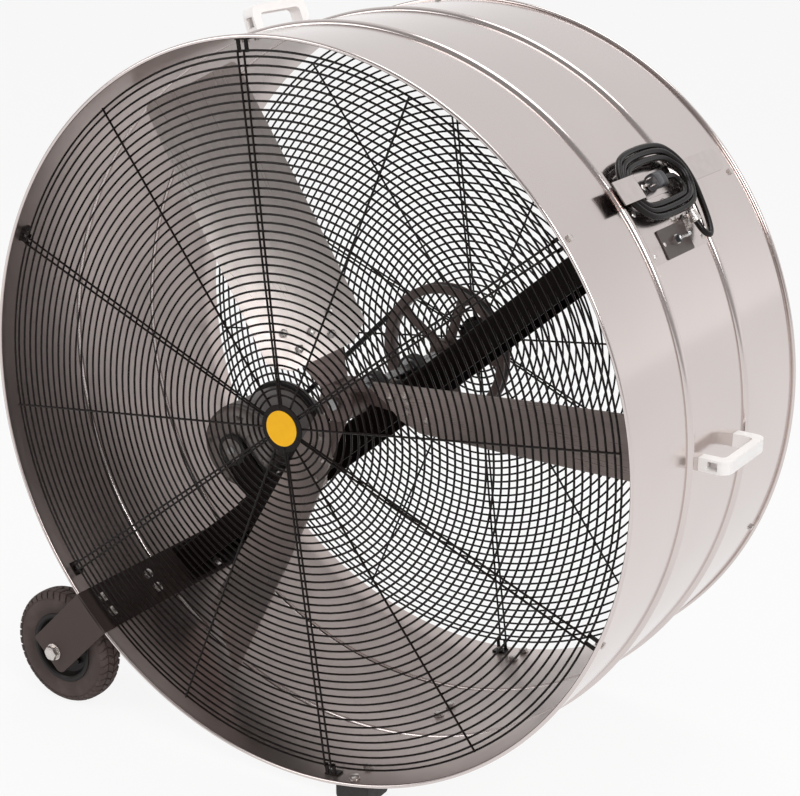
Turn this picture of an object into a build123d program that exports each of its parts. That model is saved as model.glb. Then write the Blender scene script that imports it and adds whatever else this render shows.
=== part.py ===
from build123d import *
import math
import os

# A 48-inch belt-driven drum fan on two wheels and three rubber feet.
# Modelled about the drum: Y is the drum axis (air leaves towards -Y), the front rim lies at
# y = 0, X points right and Z up.  Everything is shifted at export, so that the origin of the
# part is at the bottom centre of its bounding box.  All sizes are in millimetres.

# ---- drum ----
DRUM_R = 622.0            # outer radius of the drum sheet
DRUM_DEPTH = 612.0
MID_Y = DRUM_DEPTH / 2
SHEET = 1.5
BEAD_RISE = 6.5           # two half-round stiffening beads
BEAD_HALF = 8.0
BEAD_OFFSET = 104.0       # distance of each bead from mid depth
RIM_R = 3.5               # wired edge, rolled outwards
SEAM_DEG = 250.0
SEAM_WIDTH = 26.0
SEAM_THICK = 1.2
RIVET_R = 3.0

# ---- guards ----
WIRE = 3.0                # thickness of every guard wire
RING_FIRST = 53.5
RING_INNER = (64.5, 76.5, 90.0)
RING_PITCH = 13.56
RING_LAST = DRUM_R - 21.0
GUARD_EDGE_Y = 12.0       # depth of the guard's edge behind the rim
GUARD_RISE = 9.5          # how far its middle stands forward of its edge
SPOKE_COUNT = 6
PAIR_DEG = 37.0           # first pair of spokes
SINGLE_DEG = 7.0          # first single spoke
PAIR_GAP_RIM = 15.0
PAIR_GAP_HUB = 6.0
SPOKE_IN = 34.0
CLIP_WIDTH = 26.0
CLIP_LEG = 18.0
CLIP_THICK = 3.0
CLIP_FINGER = 6.0         # width of the finger under each spoke
CENTER_PLATE_R = 40.0
CENTER_PLATE_THICK = 2.0
BADGE_R = 30.0
BADGE_THICK = 1.2
CENTER_BOLT_R = 35.0
CENTER_BOLT_HEAD = 2.4

# ---- cross channel ----
BEAM_DEG = 40.0
BEAM_DROP = 24.0          # web face below the fan shaft
BEAM_Y0 = MID_Y - 54.0
BEAM_WIDTH = 149.0
BEAM_FLANGE = 50.0
BEAM_WALL = 5.0
PAD_THICK = 4.0
PAD_V = (-16.0, -90.0)     # reach of each end pad across the channel
LOWER_BOLT_V = (-39.0, -80.0)
UPPER_BOLT_V = (-39.0, -60.0)
BEAM_BOLT_R = 5.0

# ---- shaft, bearings and fan ----
SHAFT_R = 11.0
SHAFT_Y0 = BEAM_Y0 - 112.0
BEARING_R = 20.0
BEARING_LEN = 24.0
BEARING_FOOT = 96.0
BEARING_FOOT_THICK = 8.0
FRONT_BEARING_Y = BEAM_Y0 + 15.0
REAR_BEARING_Y = BEAM_Y0 + 135.0
BEARING_BOLT_SPAN = 38.0
BLADE_COUNT = 3
BLADE_DEG = 1.7
BLADE_Y = BEAM_Y0 - 76.5
BLADE_ROOT = 106.0
BLADE_TIP = DRUM_R - 28.0
BLADE_HEEL = 81.0         # narrow end of the blade, at the hub
CHORD_ROOT = 183.0
CHORD_TIP = 172.0
CHORD_HEEL = 116.0
PITCH_ROOT = 46.7
PITCH_TIP = 32.4
BLADE_THICK = 2.5
BLADE_BOW_R = 700.0       # bend radius of the blade sheet
HUB_R = 34.0
HUB_Y0 = BEAM_Y0 - 102.0
HUB_LEN = 56.0
ARM_THICK = 6.0
ARM_GAP = 0.4             # between each arm and its blade
ARM_END = 164.0
ARM_HALF = 38.0           # at the blade's heel
ARM_HALF_END = 56.0
ARM_HALF_HUB = 22.0
BLADE_BOLT_R = 4.0

# ---- belt drive ----
BELT_Y = BEAM_Y0 + 248.0
PULLEY_R = 128.0
PULLEY_WIDTH = 24.0
PULLEY_HUB_R = 26.0
PULLEY_HUB_LEN = 36.0
PULLEY_WEB = 15.0         # depth of the rim
PULLEY_ARMS = 5
PULLEY_ARM_WIDTH = 20.0
BELT_TOP = 13.0
BELT_BASE = 8.0
BELT_HEIGHT = 8.0
BELT_SUNK = 2.0           # top of the belt below the pulley's edge

# ---- motor ----
MOTOR_U = -364.0          # along the channel from the drum axis
MOTOR_RISE = 88.9         # shaft height above the channel
MOTOR_SHELL_R = 80.0
MOTOR_REAR_R = 88.0
MOTOR_Y0 = BEAM_Y0 + 28.0
BELL_DEPTH = 22.0
MOTOR_SHELL_LEN = 128.0
MOTOR_BOSS_R = 22.0
MOTOR_BOSS = 12.0
MOTOR_RING_R = 30.0
MOTOR_RING_LEN = 9.0
MOTOR_SHAFT_R = 8.0
ROTOR_R = 45.0
STATOR_LEN = 90.0
AIR_GAP = 1.0
MOTOR_PULLEY_R = 38.0
CRADLE_WIDTH = 120.0
CRADLE_ARM = 64.0
CRADLE_THICK = 4.0
MOTOR_BOLT_Y = (45.0, 124.0)  # behind the channel's front edge
JUNCTION = (72.0, 60.0, 30.0)
LEAD_R = 4.5
LEAD_BEND = 58.0          # the lead leaves the channel this far before the switch box
LEAD_RISE = 45.0          # and runs straight up to it over this length

# ---- wheels ----
BRACKET_DEG = 225.05
BRACKET_WIDTH = 86.0
BRACKET_THICK = 5.0
BRACKET_CORNER = 13.0
BRACKET_BOLT_Y = (37.0, 163.0, DRUM_DEPTH - 163.0, DRUM_DEPTH - 37.0)
BRACKET_BOLT_HALF = 1.45  # degrees from the middle of the bracket
BRACKET_BOLT_R = 5.0
AXLE_DEG = 225.3
AXLE_AT = DRUM_R * 1.217042
BRACKET_REACH = AXLE_AT + 23.0       # radius of the end of each ear
AXLE_R = 8.0
WHEEL_R = 110.0
TYRE_WIDTH = 52.0
TYRE_SHOULDER = 8.0
TREAD_DEPTH = 5.0
TREAD_COUNT = 30
TREAD_GROOVE = 5.0
RIM_SEAT_R = 63.0
WHEEL_RIM_WIDTH = 46.0
WHEEL_HUB_R = 21.0
WHEEL_HUB_LEN = 60.0
WHEEL_GAP = 6.0           # hub face behind the rim plane
WASHER_R = 16.0
WASHER_THICK = 2.5
AXLE_HEAD = 10.0
AXLE_ACROSS = 24.0

# ---- feet ----
FOOT_DEG = -78.5
FOOT_WIDTH = 66.0
FOOT_LENGTH = 62.0
FOOT_FRONT_Y = 39.0
FOOT_BOLT_R = 4.0
FOOT_BOLT_STEP = 20.0

# ---- handles ----
HANDLE_DEG = (-0.6, 110.4)
HANDLE_Y = MID_Y + 2.0
HANDLE_LENGTH = 150.0
HANDLE_PROUD = 50.0
HANDLE_DEPTH = 22.0
HANDLE_LEG = 20.0
HANDLE_GRIP = 14.0
HANDLE_CORNER = 18.0
HANDLE_FLOOR = 14.0       # thickness of each leg's foot, under its recess
HANDLE_RECESS = (14.0, 14.0, 18.0)  # depth from the leg's end, width, height
HANDLE_SCREW_IN = 8.0     # screw behind the leg's end face
HANDLE_SCREW_R = 3.0

# ---- cord, its hook and the switch ----
CORD_DEG = BEAM_DEG - math.degrees(11.9415 / DRUM_R)
CORD_Y = MID_Y + 5.0
CORD_DIA = 10.0
COIL_LEFT = -40.0         # centres of the coil's two round ends
COIL_RIGHT = 55.0
COIL_R = 61.0             # radius of the outermost turn
COIL_PITCH = 10.8
COIL_HALVES = 5           # half turns before the last, tighter one
PLUG_U = 30.0
PLUG_V = 8.0
PLUG = (38.0, 26.0, 22.0)
PRONG = (12.0, 1.6, 6.4)
STRAP_THICK = 2.0
STRAP_V = (-12.0, 28.0)
STRAP_END = MID_Y - 41.0
STRAP_ROUND = 14.0
STRAP_SCREW_U = (-16.0, 62.0)
STRAP_FOOT = -24.0
STRAP_TOP = -62.0
STRAP_TIP = -129.0
RELIEF_U = 48.5
RELIEF_V = (-56.0, -76.0)
RELIEF_R = 9.5
RELIEF_RING = 12.5
SWITCH_DEG = BEAM_DEG - math.degrees(97.7035 / DRUM_R)
SWITCH_Y = MID_Y - 5.5
PLATE_DEG = tuple(BEAM_DEG - math.degrees(across / DRUM_R) for across in (122.6722, 26.0543))
PLATE_MARGIN = 3.0
PLATE_THICK = 1.5
COVER = (91.0, 48.0, 2.0)
COVER_SCREW_R = 2.0
BOX_DEG = BEAM_DEG - math.degrees(104.2171 / DRUM_R)
BOX = (84.0, 38.0, 42.0)
BOX_WALL = 1.5
SWITCH_BODY = (30.0, 20.0, 24.0)
BUSHING_R = 6.0
BUSHING_TOP = 13.0
BALL_DEPTH = 2.0          # middle of the lever's ball below the bushing's top
PIVOT_R = 0.9
LEVER_TILT = 15.0
LEVER_LENGTH = 19.0
LEVER_BALL = 4.0

# ---- clearances ----
FIT = 0.05                # running fit, radial
SEAT = 0.1                # fixed parts laid on a curved face
HOLE = 0.4                # radial clearance of a bolt in its hole
GROOVE_GAP = 0.5          # belt in its groove
BALL_GAP = 0.3

# ---- derived places ----
INNER_R = DRUM_R - SHEET
BEADS = (MID_Y - BEAD_OFFSET, MID_Y + BEAD_OFFSET)
BEAM_Y = BEAM_Y0 + BEAM_WIDTH / 2
CORD_W = BEAD_RISE + STRAP_THICK + CORD_DIA / 2 + 0.4
TAB_W = CORD_W + CORD_DIA / 2 + 0.5
MOTOR_Y1 = MOTOR_Y0 + 2 * BELL_DEPTH + MOTOR_SHELL_LEN
ROUND = Axis((0, 0, 0), (0, -1, 0))


def direction(deg):
    return Vector(math.cos(math.radians(deg)), 0, math.sin(math.radians(deg)))


def tangent(deg):
    return direction(deg + 90)


def polar(radius, deg, y=0.0):
    return direction(deg) * radius + Vector(0, y, 0)


def wall(deg, y, radius=DRUM_R):
    """Frame on a wall: x along the drum, y round it, z outwards."""
    return Plane(origin=polar(radius, deg, y), x_dir=(0, 1, 0), z_dir=direction(deg)).location


def inside(deg, y, radius=INNER_R):
    """The same with z towards the axis."""
    return Plane(origin=polar(radius, deg, y), x_dir=(0, 1, 0), z_dir=direction(deg) * -1).location


def beam_frame():
    """x along the channel, y along the drum axis, z square to its web."""
    return Plane(origin=(0, 0, 0), x_dir=direction(BEAM_DEG), z_dir=tangent(BEAM_DEG)).location


BEAM = beam_frame()
MOTOR = direction(BEAM_DEG) * MOTOR_U + tangent(BEAM_DEG) * (MOTOR_RISE - BEAM_DROP)
AXLE = polar(AXLE_AT, AXLE_DEG)
FLOOR = AXLE.Z - WHEEL_R
SHIFT = Pos(-(DRUM_R + HANDLE_PROUD + AXLE.X - WHEEL_R) / 2, -MID_Y, -FLOOR)


def save(name, shape):
    export_step(SHIFT * shape, "parts/" + name + ".step")


def block(x0, x1, y0, y1, z0, z1):
    size = Box(x1 - x0, y1 - y0, z1 - z0)
    return Pos((x0 + x1) / 2, (y0 + y1) / 2, (z0 + z1) / 2) * size


def rod(radius, y0, y1):
    return Pos(0, (y0 + y1) / 2, 0) * Rot(90, 0, 0) * Cylinder(radius, y1 - y0)


def turned(*points):
    """Solid of revolution about the Y axis; points are (radius, y)."""
    return revolve(make_face(Polyline(*points, close=True)), ROUND)


def tube(outer, inner, y0, y1):
    return turned((inner, y0), (outer, y0), (outer, y1), (inner, y1))


def curved_plate(r0, r1, y0, y1, deg0, deg1):
    face = make_face(Polyline((r0, y0), (r1, y0), (r1, y1), (r0, y1), close=True))
    return Rot(0, -deg0, 0) * revolve(face, ROUND, revolution_arc=deg1 - deg0)


def hex_prism(across, height):
    return extrude(RegularPolygon(across / 2, 6, major_radius=False), height)


def pin(radius, z0, z1):
    return Pos(0, 0, (z0 + z1) / 2) * Cylinder(radius, z1 - z0)


def hex_bolt(place, grip, radius):
    """Hexagon bolt with its head on the z side of place and its nut past the grip."""
    head = hex_prism(radius * 3.4, radius * 1.3)
    nut = Pos(0, 0, -grip - radius * 1.6) * hex_prism(radius * 3.4, radius * 1.6)
    shank = pin(radius, -grip - radius * 2.2, radius)
    return place * (head + nut + shank)


def dome_head(radius, height):
    """Low round head standing on z = 0."""
    ball = (radius ** 2 + height ** 2) / 2 / height
    return Pos(0, 0, height - ball) * Sphere(ball) & pin(radius, 0, height)


def dome_screw(place, depth, radius):
    """Round-headed screw with its head on the z side of place."""
    return place * (dome_head(radius * 1.8, radius * 0.8) + pin(radius, -depth, 0.5))


def bore(place, radius, depth=30.0):
    return place * pin(radius + HOLE, -depth, depth)


def group(shapes):
    return Compound(children=[solid for shape in shapes for solid in shape.solids()])


# ---------------- drum ----------------
def wall_line(radius, half, y0, y1):
    """Edges of one face of the drum sheet, over both beads."""
    edges = []
    at = y0
    for bead in BEADS:
        edges.append(Line((radius, at), (radius, bead - half)))
        edges.append(ThreePointArc((radius, bead - half), (radius + BEAD_RISE, bead), (radius, bead + half)))
        at = bead + half
    edges.append(Line((radius, at), (radius, y1)))
    return edges


def drum_section():
    y0 = RIM_R
    y1 = DRUM_DEPTH - RIM_R
    outer = wall_line(DRUM_R, BEAD_HALF, y0, y1)
    inner = wall_line(INNER_R, BEAD_HALF - SHEET, y0, y1)
    ends = [Line((INNER_R, y0), (DRUM_R, y0)), Line((INNER_R, y1), (DRUM_R, y1))]
    sheet = make_face(outer + inner + ends)
    for y in (y0, y1):
        sheet += Pos(INNER_R + RIM_R, y) * Circle(RIM_R)
    return sheet


def seam_runs():
    margin = 2.0
    gaps = ((2 * RIM_R, BEADS[0] - BEAD_HALF), (BEADS[0] + BEAD_HALF, BEADS[1] - BEAD_HALF),
            (BEADS[1] + BEAD_HALF, DRUM_DEPTH - 2 * RIM_R))
    return [(y0 + margin, y1 - margin) for y0, y1 in gaps]


def seam_strip():
    """Lap of the sheet with its rivets, in three runs between the beads."""
    half = math.degrees(SEAM_WIDTH / 2 / DRUM_R)
    outer = DRUM_R + SEAM_THICK
    head = dome_head(RIVET_R * 1.6, RIVET_R * 0.8)
    runs = []
    for y0, y1 in seam_runs():
        run = curved_plate(DRUM_R, outer, y0, y1, SEAM_DEG - half, SEAM_DEG + half)
        for share in (0.12, 0.5, 0.88):
            run += wall(SEAM_DEG, y0 + (y1 - y0) * share, outer - 0.2) * head
        runs.append(run)
    return group(runs)


# ---------------- guards ----------------
def guard_y(radius):
    """Depth of the guard's wires behind the front rim."""
    return GUARD_EDGE_Y - GUARD_RISE * (1 - radius / RING_LAST)


def ring_radii():
    radii = [RING_FIRST, *RING_INNER]
    while radii[-1] + RING_PITCH < RING_LAST - RING_PITCH / 2:
        radii.append(radii[-1] + RING_PITCH)
    return radii + [RING_LAST]


def guard_ring(radius):
    """A ring lies behind the spokes, flat side against them."""
    profile = RegularPolygon(WIRE / 2, 6, major_radius=False)
    return revolve(Pos(radius, guard_y(radius) + WIRE, 0) * profile, ROUND)


def spoke(y_in, y_out, side_in, side_out, deg):
    a = Vector(SPOKE_IN, y_in, side_in)
    b = Vector(RING_LAST + WIRE / 2, y_out, side_out)
    path = Plane(origin=a, z_dir=b - a).location
    return Rot(0, -deg, 0) * path * pin(WIRE / 2, 0, (b - a).length)


def front_guard():
    wires = [guard_ring(radius) for radius in ring_radii()]
    y_in = guard_y(SPOKE_IN)
    y_out = guard_y(RING_LAST)
    for k in range(SPOKE_COUNT):
        step = 360 / SPOKE_COUNT * k
        wires.append(spoke(y_in, y_out, 0, 0, SINGLE_DEG + step))
        for side in (-0.5, 0.5):
            wires.append(spoke(y_in, y_out, side * PAIR_GAP_HUB, side * PAIR_GAP_RIM, PAIR_DEG + step))
    return group(wires)


def to_rear(shape):
    return mirror(shape, about=Plane(origin=(0, MID_Y, 0), z_dir=(0, 1, 0)))


def pair_angles():
    return [PAIR_DEG + 360 / SPOKE_COUNT * k for k in range(SPOKE_COUNT)]


def clip_y():
    return guard_y(RING_LAST) + 1.5 * WIRE + CLIP_THICK / 2 + 0.1


def guard_clip(deg):
    """Clip: one leg on the wall, and a finger under the guard's last ring at each spoke of a pair."""
    y0 = clip_y() - CLIP_THICK / 2
    outer = INNER_R - SEAT
    clip = block(outer - CLIP_THICK, outer, y0, y0 + CLIP_LEG, -CLIP_WIDTH / 2, CLIP_WIDTH / 2)
    for side in (-0.5, 0.5):
        z = side * PAIR_GAP_RIM
        clip += block(RING_LAST - WIRE, outer, y0, y0 + CLIP_THICK, z - CLIP_FINGER / 2, z + CLIP_FINGER / 2)
    limit = rod(outer, y0 - 1, y0 + CLIP_LEG + 1)
    return Rot(0, -deg, 0) * (clip & limit)


def clip_bolt_y():
    return clip_y() - CLIP_THICK / 2 + CLIP_LEG * 0.6


def guard_clips():
    bores = [bore(place, RIVET_R) for place in guard_screw_places()]
    clips = []
    for deg in pair_angles():
        front = guard_clip(deg)
        clips += [front, to_rear(front)]
    return group([clip - bores for clip in clips])


def guard_screw_places():
    y = clip_bolt_y()
    return [wall(deg, at) for deg in pair_angles() for at in (y, DRUM_DEPTH - y)]


def guard_screws():
    return group([hex_bolt(place, SHEET + CLIP_THICK + 2 * SEAT, RIVET_R) for place in guard_screw_places()])


def center_y():
    return guard_y(SPOKE_IN) - WIRE / 2 - 0.3


def center_plate():
    """Round plate over the guard's middle, with a bolt head at each pair of spokes."""
    y1 = center_y()
    y0 = y1 - CENTER_PLATE_THICK
    plate = rod(CENTER_PLATE_R, y0, y1)
    for deg in pair_angles():
        plate += Rot(0, -deg, 0) * Pos(CENTER_BOLT_R, 0, 0) * rod(CENTER_BOLT_HEAD, y0 - 2, y0 + 1)
    return plate


def badge_disc():
    y1 = center_y() - CENTER_PLATE_THICK
    y0 = y1 - BADGE_THICK
    return turned((0, y0), (BADGE_R - 1, y0), (BADGE_R, y1 - 0.4), (BADGE_R, y1), (0, y1))


# ---------------- cross channel ----------------
def beam_end_r():
    return INNER_R - BRACKET_THICK - PAD_THICK - SEAT


def channel():
    reach = DRUM_R
    y1 = BEAM_Y0 + BEAM_WIDTH
    outer = block(-reach, reach, BEAM_Y0, y1, -BEAM_DROP - BEAM_FLANGE, -BEAM_DROP)
    hollow = block(-reach - 1, reach + 1, BEAM_Y0 + BEAM_WALL, y1 - BEAM_WALL,
                   -BEAM_DROP - BEAM_FLANGE - 1, -BEAM_DROP - BEAM_WALL)
    holes = [bore(place, BEAM_BOLT_R) for place in bearing_bolt_places() + motor_bolt_places()]
    body = BEAM * (outer - hollow) & rod(beam_end_r(), BEAM_Y0 - 1, y1 + 1)
    return body - holes


def beam_angle(v, upper):
    """Angle at which the line v of the channel meets its end pads."""
    lean = math.degrees(math.asin(v / beam_end_r()))
    return BEAM_DEG + lean if upper else BEAM_DEG + 180 - lean


def lower_bolt_places():
    radius = beam_end_r() - SEAT
    return [inside(beam_angle(v, False), BEAM_Y, radius) for v in LOWER_BOLT_V]


def upper_bolt_places():
    radius = DRUM_R + PLATE_THICK + SEAT
    return [wall(beam_angle(v, True), BEAM_Y, radius) for v in UPPER_BOLT_V]


def channel_end_pads():
    """Curved pads at both ends; the lower one lies on the wheel bracket."""
    y1 = BEAM_Y0 + BEAM_WIDTH
    under = INNER_R - BRACKET_THICK - SEAT
    top = [beam_angle(v, True) for v in reversed(PAD_V)]
    bottom = [beam_angle(v, False) for v in PAD_V]
    upper = curved_plate(beam_end_r(), INNER_R - SEAT, BEAM_Y0, y1, *top)
    lower = curved_plate(beam_end_r(), under, BEAM_Y0, y1, *bottom)
    upper -= [bore(place, BEAM_BOLT_R) for place in upper_bolt_places()]
    upper -= wall(relief_deg(), CORD_Y + RELIEF_U) * pin(RELIEF_R + 3, -30, 10)
    upper -= wall(BOX_DEG, SWITCH_Y) * block(-BOX[0] / 2 - 2, BOX[0] / 2 + 2, 0, BOX[1] / 2 + 2, -30, 10)
    lower -= [bore(place, BEAM_BOLT_R) for place in lower_bolt_places()]
    return group([upper, lower])


def channel_bolts():
    """Hexagon bolts through the wheel bracket below, low round heads under the cord above."""
    grip = DRUM_R - beam_end_r() + 3 * SEAT
    bolts = [hex_bolt(place, grip, BEAM_BOLT_R) for place in lower_bolt_places()]
    grip = DRUM_R + PLATE_THICK - beam_end_r() + 3 * SEAT
    for place in upper_bolt_places():
        nut = Pos(0, 0, -grip - 8) * hex_prism(BEAM_BOLT_R * 3.4, 8)
        shank = pin(BEAM_BOLT_R, -grip - 10, 0.5)
        bolts.append(place * (dome_head(BEAM_BOLT_R * 1.8, 3) + nut + shank))
    return group(bolts)


# ---------------- shaft, bearings and fan ----------------
def fan_shaft():
    return rod(SHAFT_R, SHAFT_Y0, BELT_Y + PULLEY_HUB_LEN / 2 + 4)


def bearing_housing(y):
    y0 = y - BEARING_LEN / 2
    y1 = y + BEARING_LEN / 2
    low = -BEAM_DROP
    foot = BEAM * block(-BEARING_FOOT / 2, BEARING_FOOT / 2, y0, y1, low, low + BEARING_FOOT_THICK)
    saddle = BEAM * block(-BEAM_DROP, BEAM_DROP, y0, y1, low, 0)
    body = foot + saddle + rod(BEAM_DROP, y0, y1)
    body -= rod(BEARING_R, y0 - 1, y1 + 1)
    return body - [bore(place, BEAM_BOLT_R) for place in bearing_bolt_places()]


def bearing_bolt_places():
    top = -BEAM_DROP + BEARING_FOOT_THICK
    ys = (FRONT_BEARING_Y, REAR_BEARING_Y)
    return [BEAM * Pos(side * BEARING_BOLT_SPAN, y, top) for y in ys for side in (-1, 1)]


def bearing_bolts():
    grip = BEARING_FOOT_THICK + BEAM_WALL
    return group([hex_bolt(place, grip, BEAM_BOLT_R * 0.8) for place in bearing_bolt_places()])


def bearing_inserts():
    """Bearing inserts with their locking collars, turning with the shaft."""
    half = BEARING_LEN / 2 - 3
    parts = []
    for y, side in ((FRONT_BEARING_Y, -1), (REAR_BEARING_Y, -1)):
        insert = tube(BEARING_R - FIT, SHAFT_R + FIT / 2, y - half, y + half)
        face = y + side * half
        collar = tube(SHAFT_R + 5, SHAFT_R + FIT / 2, min(face, face + side * 8), max(face, face + side * 8))
        parts.append(insert + collar)
    return group(parts)


def blade_share(s):
    return (s - BLADE_ROOT) / (BLADE_TIP - BLADE_ROOT)


def blade_frame(deg, s):
    """Section frame: x along the chord, y out of the front face, z along the blade."""
    pitch = math.radians(PITCH_ROOT + (PITCH_TIP - PITCH_ROOT) * blade_share(s))
    chord = tangent(deg) * math.cos(pitch) - Vector(0, 1, 0) * math.sin(pitch)
    return Plane(origin=polar(s, deg, BLADE_Y), x_dir=chord, z_dir=direction(deg))


def blade_half(s):
    if s < BLADE_ROOT:
        share = (s - BLADE_HEEL) / (BLADE_ROOT - BLADE_HEEL)
        return (CHORD_HEEL + (CHORD_ROOT - CHORD_HEEL) * share) / 2
    return (CHORD_ROOT + (CHORD_TIP - CHORD_ROOT) * blade_share(s) ** 2) / 2


def sag(half):
    return BLADE_BOW_R - math.sqrt(BLADE_BOW_R ** 2 - half ** 2)


def bowed_strip(half, top, thick):
    """Strip bent to the blade's bow; top is the height of the middle of its front face."""
    rise = sag(half)
    front = ThreePointArc((-half, top + rise), (0, top), (half, top + rise))
    rear = ThreePointArc((half, top + rise - thick), (0, top - thick), (-half, top + rise - thick))
    return make_face([front, Line(front @ 1, rear @ 0), rear, Line(rear @ 1, front @ 0)])


def blade_top():
    return -sag(CHORD_ROOT / 2)


def blade_section(deg, s):
    return blade_frame(deg, s).location * bowed_strip(blade_half(s), blade_top(), BLADE_THICK)


def blade(deg):
    stations = [BLADE_ROOT + (BLADE_TIP - BLADE_ROOT) * k / 4 for k in range(5)]
    main = loft([blade_section(deg, s) for s in stations])
    heel = loft([blade_section(deg, s) for s in (BLADE_HEEL, BLADE_ROOT)], ruled=True)
    return (main + heel) - [bore(place, BLADE_BOLT_R) for place in blade_bolt_places(deg)]


def blade_angles():
    return [BLADE_DEG + 360 / BLADE_COUNT * k for k in range(BLADE_COUNT)]


def blade_bolt_places(deg):
    spots = ((109.5, -30.0), (109.5, 30.0), (127.0, 0.0), (144.5, -43.0), (144.5, 43.0))
    places = []
    for s, across in spots:
        frame = blade_frame(deg, s)
        lift = blade_top() + sag(across)
        normal = (frame.y_dir - frame.x_dir * (across / BLADE_BOW_R)).normalized()
        at = frame.origin + frame.x_dir * across + frame.y_dir * lift + normal * 0.2
        places.append(Plane(origin=at, x_dir=frame.z_dir, z_dir=normal).location)
    return places


def blade_bolts():
    grip = BLADE_THICK + ARM_GAP + ARM_THICK + 0.6
    places = [place for deg in blade_angles() for place in blade_bolt_places(deg)]
    return group([hex_bolt(place, grip, BLADE_BOLT_R) for place in places])


def fan_arm(deg):
    top = blade_top() - BLADE_THICK - ARM_GAP
    stations = ((HUB_R - 10, ARM_HALF_HUB), (BLADE_HEEL, ARM_HALF), (ARM_END, ARM_HALF_END))
    sections = [blade_frame(deg, s).location * bowed_strip(half, top, ARM_THICK) for s, half in stations]
    arm = loft(sections, ruled=True)
    return arm - [bore(place, BLADE_BOLT_R) for place in blade_bolt_places(deg)]


def fan_hub():
    hub = rod(HUB_R, HUB_Y0, HUB_Y0 + HUB_LEN)
    for deg in blade_angles():
        hub += fan_arm(deg)
    return hub - rod(SHAFT_R + FIT / 2, HUB_Y0 - 5, HUB_Y0 + HUB_LEN + 5)


# ---------------- belt drive ----------------
def groove_points(radius, width):
    """Outer contour of a V-belt pulley rim, from its front face to its rear one."""
    top = BELT_TOP / 2 + GROOVE_GAP + (BELT_TOP - BELT_BASE) / 2 / BELT_HEIGHT * BELT_SUNK
    base = BELT_BASE / 2 + GROOVE_GAP
    deep = radius - BELT_SUNK - BELT_HEIGHT - GROOVE_GAP
    return [(radius, BELT_Y - width / 2), (radius, BELT_Y - top), (deep, BELT_Y - base),
            (deep, BELT_Y + base), (radius, BELT_Y + top), (radius, BELT_Y + width / 2)]


def driven_pulley():
    y0 = BELT_Y - PULLEY_WIDTH / 2
    y1 = BELT_Y + PULLEY_WIDTH / 2
    inner = PULLEY_R - PULLEY_WEB
    rim = turned((inner, y0), *groove_points(PULLEY_R, PULLEY_WIDTH), (inner, y1))
    body = rim + rod(PULLEY_HUB_R, BELT_Y - PULLEY_HUB_LEN / 2, BELT_Y + PULLEY_HUB_LEN / 2)
    half = PULLEY_ARM_WIDTH / 2
    for k in range(PULLEY_ARMS):
        arm = block(PULLEY_HUB_R - 4, inner + 1, BELT_Y - 5, BELT_Y + 5, -half, half)
        body += Rot(0, 360 / PULLEY_ARMS * k, 0) * arm
    return body - rod(SHAFT_R + FIT / 2, y0 - 20, y1 + 20)


def motor_pulley():
    y0 = BELT_Y - PULLEY_WIDTH / 2
    y1 = BELT_Y + PULLEY_WIDTH / 2
    bore_r = MOTOR_SHAFT_R + FIT / 2
    body = turned((bore_r, y0), *groove_points(MOTOR_PULLEY_R, PULLEY_WIDTH), (bore_r, y1))
    return Pos(MOTOR) * body


def belt_arcs():
    """Tangent points of the belt's middle line on both pulleys."""
    middle = BELT_SUNK + BELT_HEIGHT / 2
    big = PULLEY_R - middle
    small = MOTOR_PULLEY_R - middle
    along = math.degrees(math.atan2(MOTOR.Z, MOTOR.X))
    swing = math.degrees(math.acos((big - small) / MOTOR.length))
    return big, small, along, swing


def drive_belt():
    big, small, along, swing = belt_arcs()
    at = Vector(0, BELT_Y, 0)
    a1 = at + direction(along + swing) * big
    a2 = at + direction(along - swing) * big
    b1 = at + MOTOR + direction(along + swing) * small
    b2 = at + MOTOR + direction(along - swing) * small
    run_out = Line(a1, b1)
    turn_small = ThreePointArc(b1, at + MOTOR + direction(along) * small, b2)
    run_back = Line(b2, a2)
    turn_big = ThreePointArc(a2, at - direction(along) * big, a1)
    path = Wire([run_out, turn_small, run_back, turn_big])
    high = BELT_HEIGHT / 2
    section = Polyline((BELT_TOP / 2, high), (-BELT_TOP / 2, high), (-BELT_BASE / 2, -high),
                       (BELT_BASE / 2, -high), close=True)
    frame = Plane(origin=a1, x_dir=(0, 1, 0), z_dir=b1 - a1)
    flip = 1 if frame.y_dir.dot(direction(along + swing)) > 0 else -1
    return sweep(frame.location * Rot(90 - 90 * flip, 0, 0) * make_face(section), path=path)


# ---------------- motor ----------------
def motor_front_bell():
    y0 = MOTOR_Y0
    y1 = y0 + BELL_DEPTH
    inner = MOTOR_SHAFT_R + FIT
    edge = MOTOR_SHELL_R - 2
    body = turned((inner, y0 - MOTOR_BOSS), (MOTOR_BOSS_R, y0 - MOTOR_BOSS), (MOTOR_BOSS_R, y0),
                  (edge - 12, y0), (edge, y0 + 10), (edge, y1), (inner, y1))
    for k in range(4):
        spot = Pos(polar(MOTOR_SHELL_R - 19, BEAM_DEG + 45 + 90 * k, y0 + 1))
        body += spot * Rot(90, 0, 0) * hex_prism(8, 6)
    return Pos(MOTOR) * body


def motor_shell():
    y0 = MOTOR_Y0 + BELL_DEPTH
    y1 = y0 + MOTOR_SHELL_LEN
    return Pos(MOTOR) * tube(MOTOR_SHELL_R, MOTOR_SHELL_R - 3, y0, y1)


def motor_stator():
    """Wound stator pressed into the shell, round the rotor core."""
    middle = MOTOR_Y0 + BELL_DEPTH + MOTOR_SHELL_LEN / 2
    half = STATOR_LEN / 2
    core = tube(MOTOR_SHELL_R - 3 - SEAT / 2, ROTOR_R + AIR_GAP, middle - half, middle + half)
    coils = tube(MOTOR_SHELL_R - 16, ROTOR_R + 5, middle - half - 12, middle + half + 12)
    return Pos(MOTOR) * (core + coils)


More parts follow.
